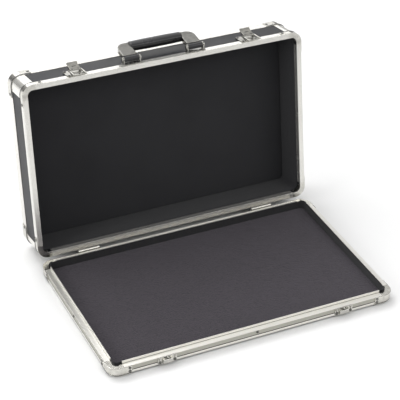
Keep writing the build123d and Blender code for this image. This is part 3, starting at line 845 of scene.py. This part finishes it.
# A dark plate for the lid caps' rolled edges, painted as the shade that outlines each cap.
PAINTED_SHADE_ROLLED_EDGE = BrightPlate(
    "painted_shade_rolled_edge", tone=(0.11, 0.11, 0.115), smudge_tone=(0.05, 0.05, 0.052), roughness=0.22
)
LATCH_PLATE = BrightPlate(
    "latch_plate",
    tone=(0.43, 0.42, 0.385),
    smudge_tone=(0.24, 0.235, 0.215),
    roughness=0.12,
    edge_radius=0.7 * MM,
)
HANDLE_PLATE = BrightPlate(
    "handle_plate",
    tone=(0.37, 0.363, 0.34),
    smudge_tone=(0.20, 0.197, 0.185),
    roughness=0.12,
    edge_radius=2.4 * MM,
)
LAMINATE = PebbledLaminate()
CARPET = LoopCarpet()
FELT = PressedFelt()
FOAM = OpenCellFoam()
GRIP_RUBBER = MouldedBlack(name="grip_rubber", roughness=0.29, grain_depth=0.04 * MM)
BLACK_PLASTIC = MouldedBlack(name="black_plastic", roughness=0.36, grain_depth=0.05 * MM)


def dress_nodes(finish: Finish, names: Iterable[str]) -> int:
    """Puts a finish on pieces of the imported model.

    Args:
        finish: The finish that they get.
        names: The pieces' names.

    Returns:
        How many pieces were dressed.
    """
    count = 0
    for name in names:
        finish.dress(frame["nodes"][name])
        count += 1
    return count


def grains(ends: Grain) -> dict[str, Grain]:
    """The grain of each side's extrusions: along the case in front and behind, as given at the ends."""
    return {"front": Grain.ALONG_LENGTH, "back": Grain.ALONG_LENGTH, "left": ends, "right": ends}


def lifted_plane(middle: float, pivot: Pair, lift_degrees: float, reach: float = 0.0) -> Matrix:
    """The axes of a flat piece that turns about a pivot on the lid's front wall, with the lid open.

    Args:
        middle: The piece's middle along the case.
        pivot: How far the pivot stands out from the wall, and its height in the closed case.
        lift_degrees: How far the piece is lifted from the wall.
        reach: How far from the pivot the axes start.

    Returns:
        The axes: x along the case, y away from the pivot, z out of the piece's face.
    """
    out, height = pivot
    lift = math.radians(lift_degrees)
    along, away = Vector((1, 0, 0)), Vector((0, -math.sin(lift), math.cos(lift)))
    centre = Vector((middle, -SIZES.width / 2 - out, height)) + away * reach
    closed = Matrix.Translation(centre) @ Matrix((along, away, along.cross(away))).transposed().to_4x4()
    return SIZES.opened() @ closed


# ------------------------------ corner beads


@dataclass
class CornerBeads:
    """The rolled edges of the steel corner pieces: a slim bead round each of the four corners.

    Each bead is given by its inset from the outer face and its height in the closed case.
    """

    name: str
    body: str
    beads: tuple[Pair, ...]
    finish: Finish = BRIGHT_PLATE
    leg: float = 19.5 * MM
    radius: float = 0.6 * MM
    around: int = 8

    def sweep(self, maker: MeshMaker, path: list[Vector], height: float) -> None:
        """Carries a small circle along a path.

        Args:
            maker: The mesh that the bead goes into.
            path: The points that it follows, with z at 0.
            height: Its height in the closed case.
        """
        loops = []
        for place, point in enumerate(path):
            ahead = path[min(place + 1, len(path) - 1)] - path[max(place - 1, 0)]
            across = Vector((ahead.y, -ahead.x, 0)).normalized()
            loop = []
            for cosine, sine in circle(self.around):
                reach = across * cosine + Vector((0, 0, sine))
                loop.append(point + Vector((0, 0, height)) + reach * self.radius)
            loops.append(maker.loop(loop))
        maker.skin(loops)
        maker.cap(loops[0], flip=True)
        maker.cap(loops[-1])

    def make(self, transform: Matrix | None = None) -> Piece:
        """Builds the beads of all four corners as one piece.

        Args:
            transform: Where they are carried from their closed place.

        Returns:
            The beads.
        """
        maker = MeshMaker(self.name)
        for quarter in range(4):
            for inset, height in self.beads:
                self.sweep(maker, SIZES.corner_path(quarter, inset, self.leg), height)
        piece = maker.make(transform, smooth=60)
        self.finish.dress(piece)
        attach(piece, self.body)
        return piece


# ------------------------------ linings


@dataclass
class SoftPlate:
    """A flat soft sheet with the case's round-cornered plan, laid on one face and gently uneven on the other.

    The plate is drawn in the closed case. Its soft face is at `face`, and its back is at `back`.
    """

    name: str
    inset: float
    face: float
    back: float
    edge_round: float
    unevenness: float
    wave_size: float
    cell: float = 4 * MM
    settled: float = 0.6
    fuzz_share: float = 0.35
    fuzz_per_metre: float = 400.0
    calm_edges: float = 4.0
    edge_angles: tuple[float, ...] = (0, 22.5, 45, 67.5)

    def corner_fit(self, x: float, y: float) -> Pair:
        """Carries a point of the full rectangle into the round-cornered plan.

        Args:
            x: The place along the case.
            y: The place across the case.

        Returns:
            The place in the round-cornered plan.
        """
        radius = SIZES.corner_radius - self.inset
        centre_x = SIZES.length / 2 - SIZES.corner_radius
        centre_y = SIZES.width / 2 - SIZES.corner_radius
        over_x, over_y = abs(x) - centre_x, abs(y) - centre_y
        if over_x <= 0 or over_y <= 0 or radius <= 0:
            return x, y
        shrink = max(over_x, over_y) / math.hypot(over_x, over_y)
        return math.copysign(centre_x + over_x * shrink, x), math.copysign(centre_y + over_y * shrink, y)

    def edge_gap(self, x: float, y: float) -> float:
        """How far a point of the plan is from the sheet's edge.

        Args:
            x: The place along the case.
            y: The place across the case.

        Returns:
            The distance, or 0 outside the sheet.
        """
        gap_x = SIZES.length / 2 - self.inset - abs(x)
        gap_y = SIZES.width / 2 - self.inset - abs(y)
        return max(0.0, min(gap_x, gap_y))

    def level(self, x: float, y: float) -> float:
        """The height of the soft face over a point of the plan.

        Args:
            x: The place along the case.
            y: The place across the case.

        Returns:
            The height in the closed case.
        """
        upward = 1 if self.face > self.back else -1
        gap = self.edge_gap(x, y)
        drop = 0.0
        if gap < self.edge_round:
            drop = self.edge_round - math.sqrt(self.edge_round**2 - (self.edge_round - gap) ** 2)
        wave = noise.noise(Vector((x, y, self.inset)) / self.wave_size) * self.unevenness
        fuzz = noise.noise(Vector((x, y, 1.0)) * self.fuzz_per_metre) * self.unevenness * self.fuzz_share
        calm = min(1.0, gap / (self.calm_edges * self.edge_round))
        return self.face - upward * (drop + (self.unevenness * self.settled + wave + fuzz) * calm)

    def stations(self, half: float) -> list[float]:
        """Places across the sheet: close together at its edges and even between them.

        Args:
            half: Half of the sheet's length or width.

        Returns:
            The places, from one edge to the other.
        """
        fine = [half - self.edge_round * (1 - math.cos(math.radians(angle))) for angle in self.edge_angles]
        inner = half - self.edge_round
        count = max(2, round(2 * inner / self.cell))
        middle = [-inner + 2 * inner * step / count for step in range(count + 1)]
        return [-place for place in fine] + middle + fine[::-1]

    def make(self, transform: Matrix | None = None) -> Piece:
        """Builds the sheet as a closed body.

        Args:
            transform: Where the sheet is carried from its closed place.

        Returns:
            The sheet.
        """
        maker = MeshMaker(self.name)
        columns = self.stations(SIZES.length / 2 - self.inset)
        rows = self.stations(SIZES.width / 2 - self.inset)
        grid: list[list[int]] = []
        for y in rows:
            places = [self.corner_fit(x, y) for x in columns]
            levels = (self.level(x, y) for x in columns)
            grid.append(maker.loop(Vector((*place, level)) for place, level in zip(places, levels)))
        maker.skin(grid, closed=False)
        rim = grid[0] + [row[-1] for row in grid[1:]] + grid[-1][-2::-1] + [row[0] for row in grid[-2:0:-1]]
        foot = maker.loop(Vector((maker.points[i].x, maker.points[i].y, self.back)) for i in rim)
        maker.band(foot, rim)
        maker.cap(foot, flip=True)
        if self.face < self.back:
            maker.turn_over()
        return maker.make(transform, smooth=60)


@dataclass
class LiningStrip:
    """A strip of felt or foam that runs round the inside of the walls.

    It is drawn in the closed case, from `outer` to `inner` as insets, with its free edge rounded over.
    """

    name: str
    outer: float
    inner: float
    free_edge: float
    bound_edge: float
    ripple: float
    ripples_per_metre: float = 45.0
    arc_step: int = 30
    rows: int = 6

    def section(self) -> list[Pair]:
        """The strip's section as insets and heights, from the wall over the free edge to the bound edge.

        Returns:
            The points, each an inset and a height.
        """
        half = (self.inner - self.outer) / 2
        middle = (self.inner + self.outer) / 2
        towards = 1 if self.free_edge > self.bound_edge else -1
        crown = self.free_edge - towards * half
        points = [(self.outer, self.bound_edge)]
        for angle in range(180, -1, -self.arc_step):
            turn = math.radians(angle)
            points.append((middle + half * math.cos(turn), crown + towards * half * math.sin(turn)))
        for step in range(1, self.rows + 1):
            points.append((self.inner, crown + (self.bound_edge - crown) * step / self.rows))
        return points

    def make(self, transform: Matrix | None = None) -> Piece:
        """Builds the strip.

        Args:
            transform: Where the strip is carried from its closed place.

        Returns:
            The strip.
        """
        maker = MeshMaker(self.name)
        loops = []
        for inset, height in self.section():
            loop = []
            for point in SIZES.outline(inset):
                wave = noise.noise(Vector((point.x, point.y, height)) * self.ripples_per_metre) * self.ripple
                place = point * (1 + wave / point.length) if inset > self.outer else point
                loop.append(Vector((place.x, place.y, height)))
            loops.append(maker.loop(loop))
        maker.skin([*loops, loops[0]])
        return maker.make(transform)


# ------------------------------ tray


@dataclass
class Tray:
    """The shallow tray: aluminium frame, steel corners, boards, carpet and felt."""

    foot_line: Pair = (-1.0 * MM, 2.4 * MM)
    groove: Pair = (10.3 * MM, 11.9 * MM)
    ledge_foot: float = 20.1 * MM
    lip_foot: Pair = (21.2 * MM, 21.8 * MM)
    lip_top: float = 30 * MM
    # Painted light and shade per face: foot bead painted bright, flat face under the ledge dark, lip a little
    # duller.
    bead_painted_light: Tone = (0.96, 0.945, 0.89)
    flat_painted_shade: Tone = (0.43, 0.42, 0.37)
    lip_painted_duller: Tone = (0.79, 0.775, 0.73)
    cap_rims: tuple[Pair, ...] = ((-0.9 * MM, 20.2 * MM), (0.9 * MM, 3.2 * MM))
    # Where a near-black bead round each cap paints the shadow under its foot lip.
    cap_painted_shadows: tuple[Pair, ...] = ((-0.15 * MM, 5.2 * MM),)
    sides: dict[str, Grain] = field(default_factory=lambda: grains(Grain.ALONG_TRAY_SIDE))

    def dress(self) -> int:
        """Puts the finishes on the tray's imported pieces.

        Returns:
            How many pieces were dressed.
        """
        count = 0
        # Each band paints the light and shade of one face; the foot, groove and lip foot get painted shade
        # lines.
        painted_bands = (
            (self.foot_line[0], self.groove[1], self.bead_painted_light),
            (self.groove[1], self.ledge_foot, self.flat_painted_shade),
            (self.ledge_foot, self.lip_top, self.lip_painted_duller),
        )
        painted_shade_lines = (self.foot_line, self.groove, self.lip_foot)
        for side, grain in self.sides.items():
            finish = DrawnAluminium(grain, "tray_frame", painted_bands=painted_bands, painted_shade_lines=painted_shade_lines)
            count += dress_nodes(finish, [f"tray_frame_{side}"])
        count += dress_nodes(PRESSED_STEEL, [f"tray_corner_{corner}" for corner in CORNERS])
        count += dress_nodes(LAMINATE, ["tray_bottom_panel", "tray_wall_boards"])
        return count + dress_nodes(FASTENER_PLATE, ["tray_rivets", "tray_screws"])

    def carpet(self) -> Piece:
        """Lays the carpet on the base board.

        Returns:
            The carpet.
        """
        sheet = SoftPlate(
            name="carpet_bed",
            inset=SIZES.tray_lining_face + 0.2 * MM,
            face=SIZES.carpet_top + 0.4 * MM,
            back=SIZES.base_board_top,
            edge_round=1.2 * MM,
            unevenness=0.35 * MM,
            wave_size=5 * MM,
        ).make()
        CARPET.dress(sheet)
        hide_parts("tray_carpet")
        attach(sheet, "tray")
        return sheet

    def felt(self) -> Piece:
        """Lines the tray's walls with felt.

        Returns:
            The felt.
        """
        strip = LiningStrip(
            name="wall_felt",
            outer=SIZES.tongue_inner,
            inner=SIZES.tray_lining_face,
            free_edge=SIZES.tray_lining_top,
            bound_edge=SIZES.base_board_top,
            ripple=0.1 * MM,
        ).make()
        FELT.dress(strip)
        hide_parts("tray_wall_lining")
        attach(strip, "tray")
        return strip

    def build(self) -> None:
        """Dresses the tray and reports its pieces."""
        LOG.info("tray: %d packed pieces dressed", self.dress())
        LOG.info("tray: %s laid", self.carpet().name)
        LOG.info("tray: %s fitted", self.felt().name)
        beads = CornerBeads("tray_corner_beads", "tray", self.cap_rims)
        LOG.info("tray: %s rolled", beads.make().name)
        # Painted shadow: a near-black bead round each cap above its foot lip, where the lip's undercut is in
        # shade.
        crease = CornerBeads(
            "tray_corner_creases", "tray", self.cap_painted_shadows, PAINTED_SHADE_PLATE, radius=0.5 * MM
        )
        LOG.info("tray: %s rolled", crease.make().name)


# ------------------------------ lid


@dataclass
class Lid:
    """The deep lid: boards between aluminium extrusions, steel corners, and a foam lining."""

    # Painted shade: a dark line on the rim, and a dark line and a darker band on the edge's flange.
    rim_line: Pair = (24.6 * MM, 25.2 * MM)
    edge_line: Pair = (1.5 * MM, 2.2 * MM)
    edge_painted_shade_band: Band = (2.2 * MM, 7.5 * MM, (0.45, 0.44, 0.395))
    cap_rims: tuple[Pair, ...] = ((-0.8 * MM, 34.2 * MM), (-0.8 * MM, 83.8 * MM))
    sides: dict[str, Grain] = field(default_factory=lambda: grains(Grain.ALONG_LID_SIDE))

    def inwards(self, side: str) -> Plane:
        """The way from a side's outer face to the middle of the case, for a finish of the open lid.

        Args:
            side: The side: front, back, left or right.

        Returns:
            The side's inward normal, and what is added to the distance along it.
        """
        row, sign = {"front": (1, 1), "back": (1, -1), "left": (0, 1), "right": (0, -1)}[side]
        normal = SIZES.opened().inverted()[row] * sign
        half = (SIZES.length if row == 0 else SIZES.width) / 2
        return (normal[0], normal[1], normal[2], normal[3] + half)

    def dress(self) -> int:
        """Puts the finishes on the lid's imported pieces.

        Returns:
            How many pieces were dressed.
        """
        count = 0
        upwards = tuple(SIZES.opened().inverted()[2])
        for side, grain in self.sides.items():
            # Painted shade: a dark line on each rim, and a dark line and a darker band on each edge.
            rim = DrawnAluminium(grain, "lid_rim", upwards, painted_shade_lines=(self.rim_line,))
            inwards = self.inwards(side)
            edge = DrawnAluminium(grain, f"lid_edge_{side}", inwards, (self.edge_painted_shade_band,), (self.edge_line,))
            count += dress_nodes(rim, [f"lid_rim_{side}"]) + dress_nodes(edge, [f"lid_edge_{side}"])
            count += dress_nodes(LAMINATE, [f"lid_wall_{side}"])
        count += dress_nodes(DrawnAluminium(Grain.ALONG_LID_DEPTH), ["lid_uprights"])
        caps = ["lid_rim_corners", *(f"lid_corner_{corner}" for corner in CORNERS)]
        count += dress_nodes(PRESSED_STEEL, caps)
        count += dress_nodes(LAMINATE, ["lid_top_panel"])
        return count + dress_nodes(FASTENER_PLATE, ["lid_rivets", "lid_screws"])

    def foam_pad(self) -> Piece:
        """Glues the flat foam pad to the inside of the panel.

        Returns:
            The pad.
        """
        pad = SoftPlate(
            name="foam_pad",
            inset=SIZES.foam_inset,
            face=SIZES.panel_underside - SIZES.foam_thickness,
            back=SIZES.panel_underside,
            edge_round=2.5 * MM,
            unevenness=0.5 * MM,
            wave_size=60 * MM,
            cell=6 * MM,
        ).make(SIZES.opened())
        FOAM.dress(pad)
        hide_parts("lid_foam")
        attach(pad, "lid")
        return pad

    def wall_foam(self) -> Piece:
        """Lines the lid's walls with thin foam.

        Returns:
            The foam.
        """
        strip = LiningStrip(
            name="lid_wall_foam",
            outer=SIZES.lid_board_inner,
            inner=SIZES.lid_lining_face,
            free_edge=SIZES.lid_lining_foot,
            bound_edge=SIZES.panel_underside,
            ripple=0.15 * MM,
            rows=12,
        ).make(SIZES.opened())
        FOAM.dress(strip)
        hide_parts("lid_wall_lining")
        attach(strip, "lid")
        return strip

    def build(self) -> None:
        """Dresses the lid and reports its pieces."""
        LOG.info("lid: %d packed pieces dressed", self.dress())
        LOG.info("lid: %s fitted", self.foam_pad().name)
        LOG.info("lid: %s fitted", self.wall_foam().name)
        # The caps' rolled edges are dressed dark: painted shade that outlines each corner cap.
        beads = CornerBeads("lid_corner_beads", "lid", self.cap_rims, PAINTED_SHADE_ROLLED_EDGE, radius=0.9 * MM)
        LOG.info("lid: %s rolled", beads.make(SIZES.opened()).name)


# ------------------------------ hinges and latches


@dataclass
class SlipHinges:
    """The two slip hinges on the back."""

    ends: tuple[str, ...] = ("left", "right")

    def build(self) -> None:
        """Dresses the leaves and pins."""
        parts = ("hinge_leaf_lower", "hinge_leaf_upper", "hinge_pin")
        names = [f"{part}_{end}" for part in parts for end in self.ends]
        LOG.info("hinges: %d packed pieces dressed", dress_nodes(BRIGHT_PLATE, names))


@dataclass
class DrawLatches:
    """The two draw latches on the front, with their catches on the tray.

    Places on a lever are given across the case and up from the floor, for the closed case and a flat lever.
    """

    ends: dict[str, float] = field(default_factory=lambda: {"left": -174 * MM, "right": 174 * MM})
    pivot: Pair = (4.5 * MM, 28 * MM)
    lift_degrees: float = 15.0
    face: float = 10.6 * MM
    proud: float = 0.4 * MM
    rivets: tuple[Pair, ...] = ((-6 * MM, 33 * MM), (6 * MM, 33 * MM))
    rivet_radius: float = 1.6 * MM
    slot: Pair = (0, 41 * MM)
    slot_half: Pair = (4.5 * MM, 0.9 * MM)
    around: int = 24

    def stud(self, maker: MeshMaker, place: Pair, half: Pair) -> None:
        """Adds a flat-topped round or oval stud on the lever's face.

        Args:
            maker: The mesh that it goes into.
            place: Its middle on the lever.
            half: Half of its width, and half of its height.
        """
        rows = []
        for depth in (-self.proud, self.proud):
            row = []
            for cosine, sine in circle(self.around):
                x, y = place[0] + half[0] * cosine, place[1] - self.pivot[1] + half[1] * sine
                row.append(Vector((x, y, self.face - self.pivot[0] + depth)))
            rows.append(maker.loop(row))
        maker.skin(rows)
        maker.cap(rows[0], flip=True)
        maker.cap(rows[1])

    def marks(self, end: str, middle: float) -> tuple[Piece, Piece]:
        """Puts two rivet heads on a lever, and a dark oval where its slot is, painted as the slot's shade.

        Args:
            end: Which lever.
            middle: Its place along the case.

        Returns:
            The rivet heads and the slot.
        """
        heads, slot = MeshMaker(f"lever_rivets_{end}"), MeshMaker(f"lever_slot_{end}")
        for place in self.rivets:
            self.stud(heads, place, (self.rivet_radius, self.rivet_radius))
        self.stud(slot, self.slot, self.slot_half)
        plane = lifted_plane(middle, self.pivot, self.lift_degrees)
        pieces = heads.make(plane), slot.make(plane)
        # The oval gets the near-black plate: painted shade for the slot.
        for piece, finish in zip(pieces, (FASTENER_PLATE, PAINTED_SHADE_PLATE)):
            finish.dress(piece)
            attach(piece, f"latch_lever_{end}")
        return pieces

    def build(self) -> None:
        """Dresses the plates, levers, bails, catches and pins, and marks the levers."""
        parts = ("latch_base", "latch_lever", "latch_bail")
        names = [f"{part}_{end}" for part in parts for end in self.ends]
        count = dress_nodes(LATCH_PLATE, [*names, "latch_pins"])
        count += dress_nodes(BRIGHT_PLATE, [f"catch_{end}" for end in self.ends])
        LOG.info("latches: %d packed pieces dressed", count)
        for end, middle in self.ends.items():
            LOG.info("latches: %s and %s set", *(piece.name for piece in self.marks(end, middle)))


# ------------------------------ handle


@dataclass
class SwingHandle:
    """The swing handle: brackets, strap and a moulded grip."""

    front_pivot: Pair = (9 * MM, 33 * MM)
    reach: float = 38 * MM
    lift_degrees: float = 15.0
    grip_length: float = 104 * MM
    grip_width: float = 20 * MM
    grip_depth: float = 17 * MM
    nose: float = 3 * MM
    nose_fullness: float = 0.86
    end_fullness: float = 0.90
    collar: float = 0.05
    collar_start: float = 0.94
    squareness: float = 0.72
    stations: int = 72
    around: int = 36

    def swell(self, place: float) -> float:
        """How full the grip is at a place along it, from -1 at one end to 1 at the other."""
        collar = self.collar if abs(place) > self.collar_start else 0.0
        return self.end_fullness + (1 - self.end_fullness) * math.sqrt(max(0.0, 1 - place * place)) + collar

    def grip(self) -> Piece:
        """Moulds the grip round the strap, full in the middle, with a lip and a rounded nose at each end.

        Returns:
            The grip.
        """
        maker = MeshMaker("moulded_grip")
        half = self.grip_length / 2
        loops = []
        for step in range(self.stations + 1):
            place = -1 + 2 * step / self.stations
            x = place * half
            gap = half - abs(x)
            ease = math.sqrt(max(0.0, 1 - (1 - min(gap / self.nose, 1)) ** 2))
            size = self.swell(place) * (self.nose_fullness + (1 - self.nose_fullness) * ease)
            loop = []
            for cosine, sine in circle(self.around):
                across = math.copysign(abs(cosine) ** self.squareness, cosine) * self.grip_width / 2
                deep = math.copysign(abs(sine) ** self.squareness, sine) * self.grip_depth / 2
                loop.append(Vector((x, across * size, deep * size)))
            loops.append(maker.loop(loop))
        maker.skin(loops)
        maker.cap(loops[0])
        maker.cap(loops[-1], flip=True)
        maker.turn_over()
        plane = lifted_plane(0, self.front_pivot, self.lift_degrees, self.reach)
        grip = maker.make(plane, smooth=50)
        GRIP_RUBBER.dress(grip)
        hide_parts("handle_grip")
        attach(grip, "handle")
        return grip

    def build(self) -> None:
        """Dresses the brackets, pins, strap and blocks, and moulds the grip."""
        count = dress_nodes(HANDLE_PLATE, ["handle_bracket_left", "handle_bracket_right", "handle_arms"])
        count += dress_nodes(BRIGHT_PLATE, ["handle_pins"])
        count += dress_nodes(BLACK_PLASTIC, ["handle_bushes"])
        LOG.info("handle: %d packed pieces dressed", count)
        LOG.info("handle: %s moulded", self.grip().name)


# ------------------------------ studio


@dataclass
class SoftBox:
    """A large soft light that faces a point of the scene."""

    name: str
    place: Triple
    size: Pair
    power: float
    target: Triple = (0.0, 0.1, 0.1)

    def hang(self) -> Piece:
        """Hangs the light and turns it to its target.

        Returns:
            The light.
        """
        data = bpy.data.lights.new(self.name, "AREA")
        data.shape = "RECTANGLE"
        data.size, data.size_y = self.size
        data.energy = self.power
        light = bpy.data.objects.new(self.name, data)
        light.location = self.place
        light.rotation_euler = (Vector(self.target) - Vector(self.place)).to_track_quat("-Z", "Y").to_euler()
        bpy.context.scene.collection.objects.link(light)
        return light


@dataclass
class Studio:
    """A pale floor and soft lights, as for a catalogue picture."""

    floor_half: float = 6.0
    horizon: float = 0.12
    zenith: float = 0.75
    zenith_height: float = 0.6
    lights: tuple[SoftBox, ...] = (
        SoftBox("back_box", (0.6, 3.3, 1.5), (2.6, 1.2), 19),
        SoftBox("overhead_box", (-0.5, 1.5, 2.5), (2.2, 1.6), 44),
        SoftBox("left_box", (-2.8, -0.4, 1.3), (1.2, 1.2), 26),
        SoftBox("front_box", (0.9, -1.6, 1.9), (1.5, 0.9), 10),
    )

    def floor(self) -> Piece:
        """Lays the floor.

        Returns:
            The floor.
        """
        maker = MeshMaker("studio_floor")
        half = self.floor_half
        corners = ((-half, -half), (half, -half), (half, half), (-half, half))
        maker.cap(maker.loop(Vector((x, y, 0)) for x, y in corners))
        floor = maker.make(smooth=None)
        StudioFloor().dress(floor)
        return floor

    def surroundings(self) -> bpy.types.World:
        """Fills the room with pale light that comes mostly from above.

        Returns:
            The world.
        """
        world = bpy.data.worlds.new("studio")
        world.use_nodes = True
        tree = world.node_tree
        split = tree.nodes.new("ShaderNodeSeparateXYZ")
        tree.links.new(tree.nodes.new("ShaderNodeTexCoord").outputs["Generated"], split.inputs["Vector"])
        climb = tree.nodes.new("ShaderNodeMapRange")
        reach = {"From Max": self.zenith_height, "To Min": self.horizon, "To Max": self.zenith}
        for name, number in reach.items():
            climb.inputs[name].default_value = number
        tree.links.new(split.outputs["Z"], climb.inputs["Value"])
        background = tree.nodes["Background"]
        background.inputs["Color"].default_value = (1, 1, 1, 1)
        tree.links.new(climb.outputs["Result"], background.inputs["Strength"])
        bpy.context.scene.world = world
        return world

    def build(self) -> None:
        """Sets up the floor, the room and the lights, with whites that stay white."""
        bpy.context.scene.view_settings.view_transform = "Standard"
        LOG.info("studio: %s and %s", self.floor().name, self.surroundings().name)
        for light in self.lights:
            LOG.info("studio: %s hung", light.hang().name)


@dataclass
class PhotoCamera:
    """A long lens that looks at the case from its front left, from above."""

    heading_degrees: float = 26.1
    down_degrees: float = 33.63
    roll_degrees: float = 1.72
    distance: float = 2.852
    lens_mm: float = 139.5
    sensor_mm: float = 36.0
    far: float = 50.0
    aim: Triple = (0.003, 0.082, 0.141)

    def build(self) -> None:
        """Places the camera and makes it the scene's own."""
        heading, down = math.radians(self.heading_degrees), math.radians(self.down_degrees)
        level = math.cos(down)
        forward = Vector((math.sin(heading) * level, math.cos(heading) * level, -math.sin(down)))
        data = bpy.data.cameras.new("photo_camera")
        data.lens = self.lens_mm
        data.sensor_width = self.sensor_mm
        data.clip_end = self.far
        camera = bpy.data.objects.new("photo_camera", data)
        look = forward.to_track_quat("-Z", "Y").to_matrix().to_4x4()
        roll = Matrix.Rotation(math.radians(self.roll_degrees), 4, "Z")
        camera.matrix_world = Matrix.Translation(Vector(self.aim) - forward * self.distance) @ look @ roll
        bpy.context.scene.collection.objects.link(camera)
        bpy.context.scene.camera = camera
        LOG.info("camera: %s placed", camera.name)


# ------------------------------ main


def main() -> None:
    """Builds every sub-assembly, the studio and the camera."""
    logging.basicConfig(level=logging.INFO, format="%(name)s: %(message)s")
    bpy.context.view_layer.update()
    PhotoCamera().build()
    for part in (Tray(), Lid(), SlipHinges(), DrawLatches(), SwingHandle(), Studio()):
        part.build()
    bpy.context.view_layer.update()


if __name__ == "__main__":
    main()
